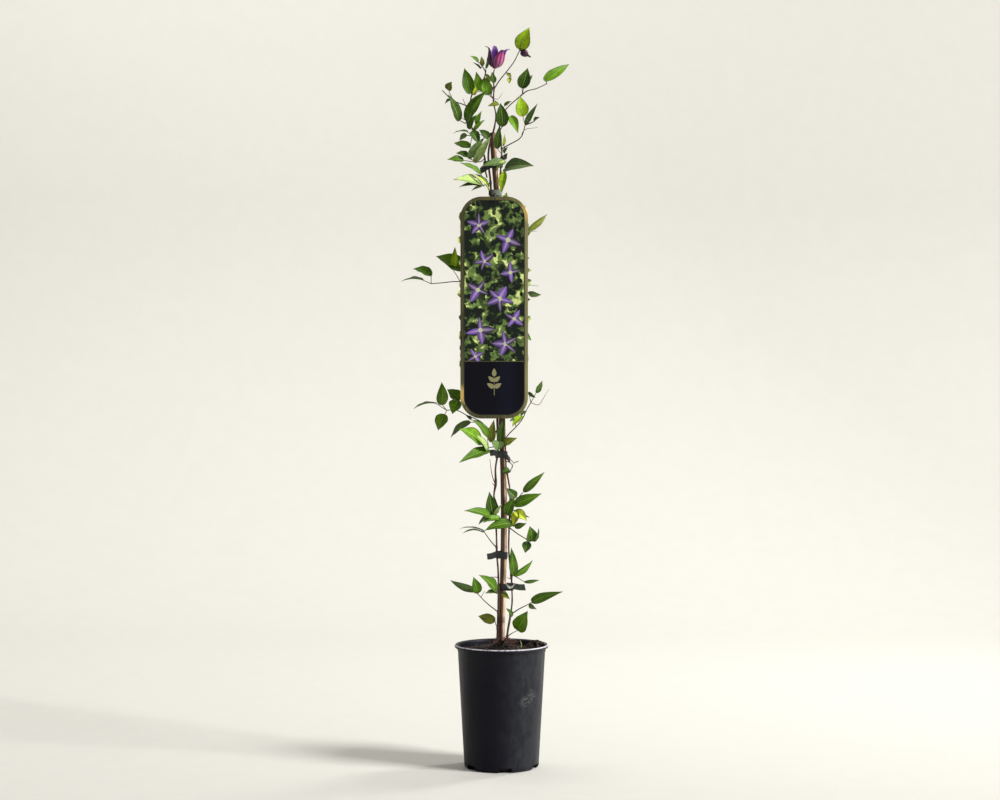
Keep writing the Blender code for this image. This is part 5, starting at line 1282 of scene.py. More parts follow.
def leaf_blade(base, tip, width, turn, look, chance):
    """A blade's points and its upward way: arched, folded at the midrib, quilted, waved at the edge."""
    along = tip - base
    length = along.length
    along.normalize()
    up = (LEAF_FACING - LEAF_FACING.dot(along) * along).normalized()
    up.rotate(Quaternion(along, math.radians(turn)))
    side = up.cross(along)
    u, v = leaf_places()
    half = width / 2 * LEAF_BREADTH_SCALE * np.sqrt(u) * (1 - u) ** LEAF_TAPER
    half = np.maximum(half, (0.5 - 0.38 * u) * MM)
    phase, turns = chance.uniform(0, 6.28), chance.uniform(1.4, 2.4)
    ripple = np.sin(6.28 * turns * u + phase + 1.9 * (v > 0)) * np.abs(v) ** 3 * np.sin(np.pi * u)
    quilt = np.abs(np.sin(np.pi * v / LEAF_VEIN_SHARE)) * np.minimum(1, 8 * u) * (1 - u) ** 0.4
    rise = length * LEAF_ARCH * 4 * u * (1 - u) + half * LEAF_FOLD * np.abs(v) ** 1.2
    rise += look.edge_wave * ripple * min(1.0, width / 0.02) + look.quilt_depth * quilt
    rise -= chance.uniform(0.0, 0.06) * length * u**4
    reach = length * u - 0.06 * length * v**2 * np.exp(-((u / 0.10) ** 2))
    bend = chance.uniform(-0.05, 0.05) * length * np.sin(np.pi * u)
    grid = np.array(base) + reach[..., None] * np.array(along) + rise[..., None] * np.array(up)
    return grid + (half * v + bend)[..., None] * np.array(side), up


def leaf_paint(tone, look, chance):
    """The blade's own green, darker at its edges and foot, and now and then with a dry brown tip."""
    u, v = leaf_places()
    colour = np.array(TONES_WITH_PAINTED_LIGHT[tone]) * chance.uniform(0.85, 1.15)
    shade = np.ones(u.shape) - 0.72 * (np.abs(v) > 0.95) - 0.12 * (u < 0.05)
    paint = colour * shade[..., None]
    if chance.random() < look.brown_tips:
        brown = np.clip((u - 0.86) / 0.1, 0, 1)[..., None]
        paint = paint * (1 - brown) + np.array(DRY_TIP) * brown
    return paint.reshape(-1, 3)


def grow_leaf(gathering, start, base, tip, width, turn, tone, look, chance):
    """A blade, and its leafstalk, which runs on under the blade as the midrib."""
    grid, up = leaf_blade(base, tip, width, turn, look, chance)
    paint = leaf_paint(tone, look, chance)
    upper = [(*colour, 0.0) for colour in paint]
    under = [(*colour, 1.0) for colour in paint]
    closed_sheet(gathering, grid, look.leaf_thickness, 0, upper, under)
    span = (base - start).length
    sag = Vector((0, 0, LEAFSTALK_SAG * span)) if span > LONG_LEAFSTALK * MM else Vector()
    middle = [Vector(grid[row, LEAF_COLUMNS // 2]) - up * 0.0002 for row in (3, 6, 9, 12)]
    knots = [start, start.lerp(base, 0.5) - sag, base] + middle
    curve = smoothed([tuple(point / MM) for point in knots], 3.0)
    thick = np.interp(np.linspace(0, 1, len(curve)), (0, 0.4, 1), LEAFSTALK_RADII)
    stalk = DARK_LEAFSTALK if chance.random() < DARK_SHARE else GREEN_LEAFSTALK
    rod(gathering, in_metres(curve), [radius * MM for radius in thick], 6, 1, stalk)


def make_shoot(name, look, finishes):
    """A side shoot: its stalk from a joint of the stem, its leaves and its bare twigs."""
    stem, height, lean, tones, bends, leaves, twigs = SHOOTS[name]
    chance = random.Random(name)
    x, y, z, _ = along_path(STEMS[stem], height)

    def leaning(point):
        return placed((point[0], point[1] + lean * abs(point[0] - x), point[2]))

    joints = [placed((x, y, z))] + [leaning(bend) for bend in bends]
    gathering = Gathering()
    curve = smoothed([tuple(joint / MM) for joint in joints], 3.0)
    tapered_rod(gathering, in_metres(curve), STALK_RADII, 8, 1, look.shoot_colour)
    for tone, (joint, base, tip, width, turn) in zip(tones, leaves):
        blade = leaning(base), leaning(tip), width * MM, turn, tone
        grow_leaf(gathering, joints[joint], *blade, look, chance)
    for twig in twigs:
        curve = smoothed([tuple(leaning(point) / MM) for point in twig], 2.0)
        tapered_rod(gathering, in_metres(curve), TWIG_RADII, 6, 1, look.shoot_colour)
    seat(gathering.made("leafy_" + name, finishes), "leaf", name)


def tepal_paint(u, v, number, look):
    """The colours of a tepal's back, with two pale bars and a rolled tip and darkened as painted shade by its
    place in the bell, and of its inner face.
    """
    rise = u[..., None]
    edge = 0.9 * np.clip((np.abs(v) - 0.55) / 0.45, 0, 1)[..., None]
    fade = np.sin(np.pi * np.clip(rise * 1.2, 0, 1))
    bars = 0.7 * np.exp(-(((np.abs(v) - 0.34) / 0.09) ** 2))[..., None] * fade
    middle = 0.75 * np.exp(-((v / 0.16) ** 2))[..., None]
    curled = np.clip((rise - 0.72) / 0.22, 0, 1)
    outer = np.array(look.outer_colour) * (0.6 + 0.6 * rise)
    outer = outer * (1 - curled) + np.array(look.tip_colour) * curled
    outer = outer * (1 - middle) + np.array(look.middle_colour) * middle
    outer = (outer * (1 - bars) + np.array(look.bar_colour) * bars) * TEPAL_PAINTED_SHADE[number]
    inner = np.array(look.inner_colour) * (1 - edge) + np.array(look.edge_colour) * edge
    return [(*c, 0.0) for c in outer.reshape(-1, 3)], [(*c, 1.0) for c in inner.reshape(-1, 3)]


def make_flower(look):
    """Four thick tepals joined in a bell, with ribs along their backs and tips that roll outwards."""
    base = placed(FLOWER_BASE)
    right = (Vector((1, 0, 0)) - FLOWER_AXIS.x * FLOWER_AXIS).normalized()
    back = FLOWER_AXIS.cross(right)
    bell = smoothed([(30 * u, r, h) for (u, r), (_, h) in zip(BELL_RADII, BELL_HEIGHTS)], 0.8)
    gathering = Gathering()
    for number, angle in enumerate(TEPAL_ANGLES):
        u, v = np.meshgrid(np.linspace(0, 1, TEPAL_ROWS), np.linspace(1, -1, TEPAL_COLUMNS), indexing="ij")
        breadth = np.clip(TEPAL_FULLNESS * (1 - u) ** TEPAL_TAPER, 0.05, 1.0)
        turn = np.radians(angle + TEPAL_HALF_ANGLE * breadth * v)
        ribs = np.exp(-((v / 0.13) ** 2)) + 0.6 * np.exp(-(((np.abs(v) - 0.36) / 0.12) ** 2))
        ruffle = np.sin(9 * u + number * 2 + 2 * v) * np.abs(v) ** 4
        radius = np.interp(30 * u, bell[:, 0], bell[:, 1]) + TEPAL_STAGGER * (-1) ** number
        radius += look.rib_height / MM * ribs * np.sin(np.pi * np.clip(u * 1.1, 0, 1)) + 0.7 * ruffle * u
        radius -= 1.2 * v**2 * breadth
        height = TEPAL_RISE + np.interp(30 * u, bell[:, 0], bell[:, 2])
        out = np.cos(turn)[..., None] * np.array(right) + np.sin(turn)[..., None] * np.array(back)
        grid = np.array(base) + (height[..., None] * np.array(FLOWER_AXIS) + out * radius[..., None]) * MM
        closed_sheet(gathering, grid, TEPAL_THICKNESS * MM, 0, *tepal_paint(u, v, number, look))
    cup = [base + FLOWER_AXIS * h * MM for h in (0.5, 0.7, 2.0, 3.2, 4.4)]
    rod(gathering, cup, [r * MM for r in (1.6, 2.8, 3.5, 3.0, 2.2)], 16, 0, (0.10, 0.05, 0.06))
    seat(gathering.made("flower_tepals", [petal_finish()]), "tepal", "flower")
    make_stamens(base, look)


def make_stamens(base, look):
    """The bunch of stamens inside the bell, strewn over a turned core."""
    core = turned_mesh("stamens", STAMEN_HEART, 12)
    turn = FLOWER_AXIS.to_track_quat("Z", "X")
    for vertex in core.vertices:
        vertex.co = base + turn @ vertex.co
    tree = Growing("stamens")
    seed = tree.ask("Seed", "Int", look.seed)
    density = tree.ask("Stamens per square metre", "Float", look.stamens_per_square_metre)
    spread = tree.node("GeometryNodeDistributePointsOnFaces", {
        "Mesh": tree.inlet.outputs[0], "Density": density, "Seed": seed,
    })
    cone = tree.node("GeometryNodeMeshCone", {
        "Vertices": 6, "Radius Top": 0.00012, "Radius Bottom": 0.0004, "Depth": 0.005,
    })
    stamens = tree.node("GeometryNodeInstanceOnPoints", {
        "Points": spread.outputs["Points"], "Instance": cone.outputs["Mesh"], "Rotation": turn.to_euler(),
        "Scale": tree.chance("FLOAT", 0.7, 1.1, seed),
    })
    joined = tree.node("GeometryNodeJoinGeometry", {0: tree.inlet.outputs[0]})
    tree.tree.links.new(stamens.outputs[0], joined.inputs[0])
    finish = Finish("stamens", Roughness=0.6)
    pollen = finish.noise(finish.object_place(), 1.2, 3.0)
    finish.colour(finish.mix(finish.smooth(pollen, 0.35, 0.65), look.stamen_colour, (0.35, 0.33, 0.12)))
    piece = tree.grown(loose_object("stamens", core), joined.outputs[0], finish.material)
    seat(piece, "stamens", "flower_centre")


def make_bud(look):
    """A closed bud: four seams between its folded tepals, and a pointed tip."""
    middle = placed(BUD_CENTRE)
    profile = smoothed([(r, 0.0, h) for r, h in BUD_PROFILE], 0.7)
    gathering = Gathering()
    points = [middle + BUD_AXIS * row[2] * MM for row in profile]
    radii = [max(row[0], 0.12) * MM for row in profile]
    rod(gathering, points[::-1], radii[::-1], 28, 0, look.bud_colour, 4, 0.07)
    seat(gathering.made("bud_skin", [painted_finish("bud_skin", 0.45, 0.4)]), "bud", "bud")


def belt_point(circles, clearance, angle):
    """Where a tape pulled round circles of (x, y, radius) lies in this direction."""
    out = Vector((math.cos(angle), math.sin(angle)))
    x, y, radius = max(circles, key=lambda circle: circle[0] * out.x + circle[1] * out.y + circle[2])
    return x + out.x * (radius + clearance), y + out.y * (radius + clearance)


def tape_colour(name, x, look):
    """The tape's colour at a place across, in millimetres."""
    if name == "label_tie" and x > LABEL_TIE_PALE_FROM:
        return look.pale_tape
    if name == "tie_lower" and x > FADED_FROM:
        return look.grey_tape
    return look.dark_tape


def add_tape(gathering, grid, name, look, slot=0):
    paint = [(*tape_colour(name, p[0] / MM, look), 0.0) for p in grid.reshape(-1, 3)]
    closed_sheet(gathering, grid, TAPE_THICKNESS * MM, slot, paint, paint)


def add_ribbon(gathering, knots, width, look, name, chance, slot=0):
    """A flat cut end of tape through knots in millimetres, a little twisted and creased."""
    curve = smoothed(knots, 1.6)
    rows = len(curve)
    slant, twist = chance.uniform(-0.25, 0.25), chance.uniform(-0.3, 0.3)
    grid = np.empty((rows, TAPE_COLUMNS, 3))
    for i, point in enumerate(curve):
        share = i / (rows - 1)
        for j, across in enumerate(np.linspace(-0.5, 0.5, TAPE_COLUMNS)):
            fold = noise.noise(Vector((point[0] * 0.35, across * 2.5, point[2] * 0.35))) * 0.8
            x = point[0] + slant * across * width * share
            y = point[1] + twist * across * width * share + fold * min(1.0, 4 * share)
            grid[i, j] = placed((x, y, point[2] + across * width * (1 - 0.06 * share)))
    add_tape(gathering, grid, name, look, slot)


def make_tie(name, look, finishes):
    """Tape wound twice round the cane and its stems, with its loose ends; the label's has the strap."""
    height, stems, tails = TIES[name]
    chance = random.Random(name)
    circles = []
    for path, around in [(CANE_PATH, CANE_RADIUS)] + [(STEMS[stem], 0.0) for stem in stems]:
        knot = along_path(path, height)
        centre = placed(knot) / MM
        circles.append((centre.x, centre.y, knot[3] if len(knot) > 3 else around))
    middle = placed((0, 0, height)).z
    gathering = Gathering()
    for wrap, share in enumerate(WRAP_WIDTHS):
        width = TIE_WIDTH * share
        tilt, start = chance.uniform(0.5, 1.5) * (-1) ** wrap, chance.uniform(0, 6.28)
        grid = np.empty((WRAP_STEPS, TAPE_COLUMNS, 3))
        for i in range(WRAP_STEPS):
            angle = start + math.radians(WRAP_TURN) * i / (WRAP_STEPS - 1)
            lapped = WRAP_LAP_RISE if i > WRAP_STEPS - 6 else 0.0
            over = TIE_CLEARANCE + WRAP_GAP + WRAP_LAYER * wrap + lapped
            for j, across in enumerate(np.linspace(-0.5, 0.5, TAPE_COLUMNS)):
                spot = Vector((math.cos(angle) * 2, math.sin(angle) * 2, across * 3 + 5 * wrap))
                crease = noise.noise(spot)
                x, y = belt_point(circles, over + 0.45 * abs(crease), angle)
                rise = across * width + tilt * math.sin(angle - start) + 0.5 * crease
                grid[i, j] = (x * MM, y * MM, middle + rise * MM)
        add_tape(gathering, grid, name, look)
    for tail in tails:
        add_ribbon(gathering, tail, TAIL_WIDTH, look, name, chance)
    if name == "tie_lower":
        add_ribbon(gathering, CLEAR_LOOP, CLEAR_WIDTH, look, name, chance, 1)
    if name == "label_tie":
        curve = smoothed(STRAP, 1.0)
        rod(gathering, [placed(p) for p in curve], [STRAP_RADIUS * MM] * len(curve), 10, 0, look.dark_tape)
    seat(gathering.made(name + "_tape", finishes, 40.0), "tape", name)


def rounded_outline(width, height, corner, steps=16):
    """A rectangle with round corners, as points about its middle."""
    across, up = width / 2 - corner, height / 2 - corner
    centres = [(across, up, 0), (-across, up, 90), (-across, -up, 180), (across, -up, 270)]
    arcs = [arc((x, y), corner, turn, turn + 90, steps) for x, y, turn in centres]
    return [point for one in arcs for point in one]


def plate(name, loops, front, thickness, rounding, finish):
    """A plate that faces the viewer, from loops of (x, z) in millimetres about the label's middle."""
    curve = bpy.data.curves.new(name, "CURVE")
    curve.dimensions = "2D"
    curve.fill_mode = "BOTH"
    curve.extrude = (thickness / 2 - rounding) * MM
    curve.bevel_depth = rounding * MM
    curve.bevel_resolution = 1
    curve.offset = -rounding * MM
    for loop in loops:
        spline = curve.splines.new("POLY")
        spline.points.add(len(loop) - 1)
        for knot, (x, y) in zip(spline.points, loop):
            knot.co = (x * MM, y * MM, 0.0, 1.0)
        spline.use_cyclic_u = True
    curve.materials.append(finish)
    obj = loose_object(name, curve)
    obj.rotation_euler = (math.radians(90), 0, 0)
    obj.location = placed(LABEL_MIDDLE) - Vector((0, front - thickness / 2, 0)) * MM
    return settled(obj)


def below(loop, level):
    """The part of a closed loop under a level, closed along it."""
    cut = []
    for (x, y), (next_x, next_y) in zip(loop, loop[1:] + loop[:1]):
        if y <= level:
            cut.append((x, y))
        if (y - level) * (next_y - level) < 0:
            cut.append((x + (next_x - x) * (level - y) / (next_y - y), level))
    return cut


def make_label(look):
    """The card with its raised metallic border, printed picture and plain dark panel."""
    border = look.border_width / MM
    outer, line, inner = (
        rounded_outline(LABEL_WIDTH - 2 * inset, LABEL_HEIGHT - 2 * inset, LABEL_CORNER - inset)
        for inset in (0.0, border - BORDER_LINE, border)
    )
    middle = placed(LABEL_MIDDLE) / MM
    hole_place = placed((LABEL_HOLE[0], LABEL_MIDDLE[1], LABEL_HOLE[1])) / MM - middle
    hole = arc((hole_place.x, hole_place.z), LABEL_HOLE_RADIUS, 360, 15, 23)
    ground = print_ground_finish()
    card = plate("label_card", [outer, hole], LABEL_THICKNESS / 2, LABEL_THICKNESS, 0.1, ground)
    card.data.materials.append(painted_card_finish(look))
    for face in card.data.polygons:
        face.material_index = 0 if face.normal.y < -0.5 else 1
    seat(card, "label", "label")
    dark = Finish("border_line", Metallic=0.4, Roughness=0.45)
    dark.colour((0.035, 0.036, 0.022, 1.0))
    top = LABEL_PANEL_TOP - middle.z
    half = LABEL_WIDTH / 2 - border - 0.4
    rule = [(-half, top), (half, top), (half, top + RULE_WIDTH), (-half, top + RULE_WIDTH)]
    layers = {
        "label_border": ([outer, line], border_finish()),
        "label_border_line": ([line, inner], dark.material),
        "label_panel": ([below(inner, top)], panel_finish(look)),
        "label_rule": ([rule], border_finish()),
    }
    for name, (loops, finish) in layers.items():
        seat(plate(name, loops, *LABEL_LAYERS[name], finish), "label")
    strew_printed_leaves(look, inner, top, middle)
    print_flowers(look, middle)
    print_sprig(look, middle)


def painted_card_finish(look):
    """The plain back of the card."""
    made = Finish("label_back", Specular_IOR_Level=0.4)
    fibre = made.noise(made.object_place(), 0.4, 4.0)
    made.colour(made.mix(made.smooth(fibre, 0.3, 0.7), look.back_colour, shaded(look.back_colour, 0.8)))
    made.rough(0.6)
    made.bump(fibre, 0.1, 0.2)
    return made.material


def panel_finish(look):
    """The printed dark panel, with a soft lighter band."""
    made = Finish("dark_panel", Specular_IOR_Level=0.18)
    place = made.object_place()
    across = made.parts(place)[0]
    haze = made.noise(place, 0.03, 2.0)
    band = made.smooth(made.maths("ABSOLUTE", made.maths("ADD", across, -8.0)), 22.0, 2.0)
    share = made.times(band, made.smooth(haze, 0.2, 0.8, 0.4, 0.8))
    made.colour(made.mix(share, look.panel_colour, shaded(look.panel_colour, 3.0)))
    made.rough(0.36)
    made.bump(haze, 0.03, 0.2)
    return made.material


def printed_leaf_shape():
    """One flat leaf of unit length, which the printed leaves repeat."""
    shape = bmesh.new()
    outline = [(0, -0.5), (0.2, -0.38), (0.3, -0.15), (0.26, 0.12), (0.12, 0.36), (0, 0.55)]
    outline += [(-x, y) for x, y in outline[-2:0:-1]]
    upper, lower = ([shape.verts.new((x, y, z)) for x, y in outline] for z in (0.00002, -0.00002))
    shape.faces.new(upper)
    shape.faces.new(lower[::-1])
    for a, b, c, d in zip(upper, lower, lower[1:] + lower[:1], upper[1:] + upper[:1]):
        shape.faces.new((a, b, c, d))
    leaf = bpy.data.meshes.new("printed_leaf_shape")
    shape.to_mesh(leaf)
    shape.free()
    return loose_object("printed_leaf_shape", leaf)


def picture_ground(inner, top, middle):
    """The window of the picture, between the panel and the border, as a mesh that faces the viewer."""
    window = [(x, -y) for x, y in below([(x, -y) for x, y in inner], -top)]
    depth = middle.y - LABEL_THICKNESS / 2 - 0.05
    ground = bmesh.new()
    corners = [Vector((middle.x + x, depth, middle.z + z)) * MM for x, z in window]
    ground.faces.new([ground.verts.new(corner) for corner in corners])
    bmesh.ops.recalc_face_normals(ground, faces=ground.faces)
    if next(iter(ground.faces)).normal.y > 0:
        bmesh.ops.reverse_faces(ground, faces=ground.faces[:])
    bmesh.ops.triangulate(ground, faces=ground.faces)
    mesh = bpy.data.meshes.new("printed_leaves")
    ground.to_mesh(mesh)
    ground.free()
    return mesh


def strew_printed_leaves(look, inner, top, middle):
    """Printed leaves strewn over the picture, each turned, sized and shaded by chance."""
    leaf_shape = printed_leaf_shape()
    tree = Growing("printed leaves")
    seed = tree.ask("Seed", "Int", look.seed)
    gap = tree.ask("Nearest leaves", "Float", look.leaf_spacing)
    shape_in = tree.ask("Leaf shape", "Object", leaf_shape)
    smallest = tree.ask("Smallest leaf", "Float", look.leaf_length * 0.3)
    largest = tree.ask("Largest leaf", "Float", look.leaf_length)
    strewn = tree.node("GeometryNodeDistributePointsOnFaces", {
        "Mesh": tree.inlet.outputs[0], "Distance Min": gap, "Density Max": 200000.0, "Seed": seed,
    }, distribute_method="POISSON")
    info = tree.node("GeometryNodeObjectInfo", {"Object": shape_in})
    spin = tree.node("FunctionNodeRotateRotation", {
        "Rotation": strewn.outputs["Rotation"], "Rotate By": tree.spin(seed),
    }, rotation_space="LOCAL")
    laid = tree.node("GeometryNodeInstanceOnPoints", {
        "Points": strewn.outputs["Points"], "Instance": info.outputs["Geometry"], "Rotation": spin.outputs[0],
        "Scale": tree.leaf_scale(smallest, largest, seed),
    })
    lift = tree.node("ShaderNodeCombineXYZ", {"Y": tree.chance("FLOAT", -0.00022, 0.0, seed)})
    layered = tree.node("GeometryNodeTranslateInstances", {
        "Instances": laid.outputs[0], "Translation": lift.outputs[0], "Local Space": False,
    })
    shade = tree.node("GeometryNodeStoreNamedAttribute", {
        "Geometry": layered.outputs[0], "Name": "shade", "Value": tree.chance("FLOAT", 0.0, 1.0, seed),
    }, data_type="FLOAT", domain="INSTANCE")
    carrier = loose_object("printed_leaves", picture_ground(inner, top, middle))
    leaves = tree.grown(carrier, shade.outputs[0], printed_leaf_finish())
    bpy.data.objects.remove(leaf_shape)
    seat(leaves, "label")


def on_card(middle, x, z, level):
    """A place in front of the card's face, in millimetres from the label's middle."""
    return np.array((middle.x + x, middle.y - LABEL_THICKNESS / 2 + level, middle.z + z))


def print_flowers(look, middle):
    """Open printed flowers of long petals round a small round heart."""
    chance = random.Random(look.seed)
    flowers = Gathering()
    for number, (x, z, size, count) in enumerate(PRINTED_FLOWERS):
        turn = chance.uniform(0, 6.28)
        layer = 0.03 * (number % 3)
        for petal in range(count):
            angle = turn + petal * 6.283 / count + chance.uniform(-0.12, 0.12)
            place = on_card(middle, x, z, -(0.32 + 0.004 * petal + layer))
            reach = size / 2 * chance.uniform(0.85, 1.1)
            flat = chance.uniform(0.55, 1.0)
            tone = shaded(look.petal_colour, chance.choice(PRINTED_TONES))
            add_printed_petal(flowers, place, angle, reach, flat, tone, look.petal_middle)
        heart = Vector(on_card(middle, x, z, -(0.36 + layer))) * MM
        ends = [heart + Vector((0, 0.00012, 0)), heart]
        rod(flowers, ends, [size * 0.085 * MM] * 2, 14, 0, PRINTED_HEART)
    finish = painted_finish("printed_petals", 0.42, 0.5, 0.0, 0.1)
    seat(flowers.made("printed_flowers", [finish]), "label")


def print_sprig(look, middle):
    """A plain printed sprig on the panel."""
    sprig = Gathering()
    gold = look.gold_colour
    for x, z, angle, reach in PANEL_SPRIG:
        place = on_card(middle, x, z, -0.46)
        add_printed_petal(sprig, place, math.radians(angle), reach, 0.9, gold, gold)
    stalk = [Vector(on_card(middle, 0, z, -0.42)) * MM for z in (-140, -128, -118, -109)]
    rod(sprig, stalk, [radius * MM for radius in (0.45, 0.4, 0.35, 0.25)], 6, 0, gold)
    seat(sprig.made("label_sprig", [painted_finish("printed_gold", 0.35, 0.5, 0.6, 0.1)]), "label")


def add_printed_petal(gathering, place, angle, reach, flat, tone, middle_tone):
    """A flat printed petal or leaf that points along an angle in the plane of the card."""
    along = np.array((math.cos(angle), 0.0, math.sin(angle)))
    side = np.array((-along[2], 0.0, along[0]))
    u, v = np.meshgrid(np.linspace(0, 1, 8), np.linspace(-1, 1, 5), indexing="ij")
    half = np.maximum(reach * 0.78 * flat * np.sqrt(u) * (1 - u) ** 0.9, 0.05)
    grid = (place + (reach * u)[..., None] * along + (half * v)[..., None] * side) * MM
    share = 0.75 * (np.exp(-((v / 0.35) ** 2)) * (0.4 + 0.6 * (1 - u)))[..., None]
    paint = np.array(tone) * (1 - share) + np.array(middle_tone) * share
    tints = [(*c, 0.0) for c in paint.reshape(-1, 3)]
    closed_sheet(gathering, grid, 0.05 * MM, 0, tints, tints)


def make_paper_sweep(look):
    """Pale paper that lies flat under the pot and bends up behind it."""
    sweep = Gathering()
    profile = [(PAPER_FRONT, 0.0), (PAPER_BEND, 0.0)]
    for angle in np.linspace(0.1, math.pi / 2, 14):
        y = PAPER_BEND + PAPER_BEND_RADIUS * math.sin(angle)
        profile.append((y, PAPER_BEND_RADIUS - PAPER_BEND_RADIUS * math.cos(angle)))
    profile.append((PAPER_BEND + PAPER_BEND_RADIUS, PAPER_TOP))
    edges = (PAPER_HALF_WIDTH, -PAPER_HALF_WIDTH)
    grid = np.array([[(x, y, z - PAPER_THICKNESS) for x in edges] for y, z in profile])
    tints = [(1.0, 1.0, 1.0, 0.0)] * (len(profile) * 2)
    closed_sheet(sweep, grid, PAPER_THICKNESS, 0, tints, tints)
    sweep.made("paper_sweep", [floor_finish(look)])


def make_stage(look):
    """The paper sweep, a strong key light from the front right, two weaker lights, the air and the camera."""
    make_paper_sweep(look)
    for name, place, aim, size, power, colour in STUDIO_LIGHTS:
        light = bpy.data.lights.new(name, "AREA")
        light.shape = "RECTANGLE"
        light.size, light.size_y = size
        light.energy = power * look.light_strength
        light.color = colour
        lamp = loose_object(name, light)
        lamp.location = place
        lamp.rotation_euler = (Vector(aim) - Vector(place)).to_track_quat("-Z", "Y").to_euler()
    scene = bpy.context.scene
    scene.world = bpy.data.worlds.new("studio_air")
    scene.world.use_nodes = True
    air = scene.world.node_tree.nodes["Background"]
    air.inputs["Color"].default_value = (*look.air_colour, 1.0)
    air.inputs["Strength"].default_value = look.air_strength
    scene.view_settings.view_transform = "Standard"
    camera = bpy.data.cameras.new("camera")
    camera.sensor_width = 36.0
    camera.lens = look.lens
    view = loose_object("camera", camera)
    view.location = EYE * MM
    view.rotation_euler = (math.radians(90), 0, 0)
    scene.camera = view


def colour_choice(name, description, default):
    return bpy.props.FloatVectorProperty(
        name=name, description=description, default=default, size=3, min=0.0, max=1.0, subtype="COLOR"
    )


def length_choice(name, description, default):
    return bpy.props.FloatProperty(
        name=name, description=description, default=default, min=0.0, precision=5, unit="LENGTH"
    )


def number_choice(name, description, default):
    return bpy.props.FloatProperty(name=name, description=description, default=default, min=0.0)


def count_choice(name, description, default):
    return bpy.props.IntProperty(name=name, description=description, default=default, min=0)


class PotLook(bpy.types.PropertyGroup):
    """Nursery pot."""

    sides: count_choice("Sides", "Flats round the pot", 144)
    edge_rounding: length_choice("Edge rounding", "Radius on the pot's edges", 0.0003)
    colour: colour_choice("Plastic", "Colour of clean plastic", (0.0022, 0.0023, 0.0078))
    # The dusty colour also paints the light on the pot's right-hand side.
    dusty_and_lit_colour: colour_choice("Dusty plastic", "Colour where dust clings", (0.0200, 0.0215, 0.0265))
    scuff_colour: colour_choice("Scuffs", "Colour of the scuff marks", (0.15, 0.155, 0.15))
    # The lip's colour paints a highlight along its rounded edge.
    lip_highlight_colour: colour_choice("Rubbed lip", "Colour of the rubbed edge of the lip", (0.58, 0.56, 0.61))
    scuff_place: bpy.props.FloatVectorProperty(
        name="Scuff place", description="Middle of the scuffed patch", default=(0.041, -0.050, 0.116),
        size=3, subtype="TRANSLATION", unit="LENGTH",
    )
    scuff_radius: length_choice("Scuff radius", "Reach of the scuffed patch", 0.019)


class CompostLook(bpy.types.PropertyGroup):
    """Compost."""

    crumb_height: length_choice("Crumb height", "Roughness of the fines", 0.0013)
    chips_per_square_metre: number_choice("Chips", "Bark chips for each square metre", 95000.0)
    largest_chip: bpy.props.FloatVectorProperty(
        name="Largest chip", description="Half length, width and height of the largest chips",
        default=(0.0042, 0.0020, 0.0011), size=3, subtype="XYZ", unit="LENGTH", precision=5,
    )
    heaped_crumbs: count_choice("Heaped crumbs", "Crumbs in the heap by the rim", 60)
    sprout_colour: colour_choice("Sprout", "Colour of the pale sprout", (0.34, 0.38, 0.12))
    seed: count_choice("Seed", "Seed of the chips' places", 7)


class CaneLook(bpy.types.PropertyGroup):
    """Bamboo cane."""

    radius: length_choice("Radius", "Radius of the cane at its foot", 0.0051)
    sides: count_choice("Sides", "Flats round the cane", 28)
    colour: colour_choice("Bamboo", "Colour of the dry cane", (0.52, 0.31, 0.16))
    pale_colour: colour_choice("Pale grain", "Colour of its pale grain", (0.82, 0.64, 0.48))
    # This brown is the weathering and also the painted shade down the cane's left side.
    weathered_and_shade_colour: colour_choice("Weathering", "Colour of its brown weathering", (0.13, 0.05, 0.025))


class PlantLook(bpy.types.PropertyGroup):
    """Stems and leaves."""

    joint_swelling: number_choice("Joint swelling", "How much thicker a stem is at a joint", 0.35)
    bark_colour: colour_choice("Bark", "Colour of the bark", (0.115, 0.048, 0.030))
    root_colour: colour_choice("Fine roots", "Colour of the fine roots", (0.210, 0.095, 0.075))
    root_count: count_choice("Fine roots", "Fine roots at the foot", 34)
    shoot_colour: colour_choice("Shoots", "Colour of the green stalks", (0.036, 0.028, 0.014))
    leaf_thickness: length_choice("Leaf thickness", "Thickness of a leaf", 0.0003)
    edge_wave: length_choice("Edge wave", "Height of the waves in a leaf's edge", 0.0009)
    quilt_depth: length_choice("Quilting", "Swell of a leaf between its veins", 0.00035)
    brown_tips: number_choice("Brown tips", "Share of leaves with a dry tip", 0.3)
    seed: count_choice("Seed", "Seed of the fine roots", 3)


class FlowerLook(bpy.types.PropertyGroup):
    """Flower and bud."""

    rib_height: length_choice("Ribs", "Height of the ribs on a tepal's back", 0.0004)
    outer_colour: colour_choice("Outer face", "Colour of the backs of the tepals", (0.330, 0.018, 0.150))
    bar_colour: colour_choice("Pale bars", "Colour of the two pale bars down a tepal", (0.66, 0.30, 0.52))
    middle_colour: colour_choice("Dark middle", "Colour between the two bars", (0.150, 0.010, 0.060))
    tip_colour: colour_choice("Rolled tip", "Colour of the rolled tips", (0.150, 0.040, 0.260))
    inner_colour: colour_choice("Inner face", "Colour inside the bell", (0.090, 0.020, 0.200))
    edge_colour: colour_choice("Inner edge", "Colour along the inner edges", (0.30, 0.15, 0.46))
    stamen_colour: colour_choice("Stamens", "Colour of the stamens", (0.66, 0.63, 0.34))
    bud_colour: colour_choice("Bud", "Colour of the closed bud", (0.040, 0.008, 0.028))
    stamens_per_square_metre: number_choice("Stamens", "Stamens for each square metre", 400000.0)
    seed: count_choice("Seed", "Seed of the stamens", 5)


class TapeLook(bpy.types.PropertyGroup):
    """Ties."""

    dark_tape: colour_choice("Dark tape", "Colour of the tape", (0.014, 0.016, 0.015))
    grey_tape: colour_choice("Grey tape", "Colour of a faded end", (0.040, 0.050, 0.042))
    # The label's tie is pale right of its set place and dark left of it.
    pale_tape: colour_choice("Pale tape", "Colour of the bleached tape at the label", (0.30, 0.34, 0.27))


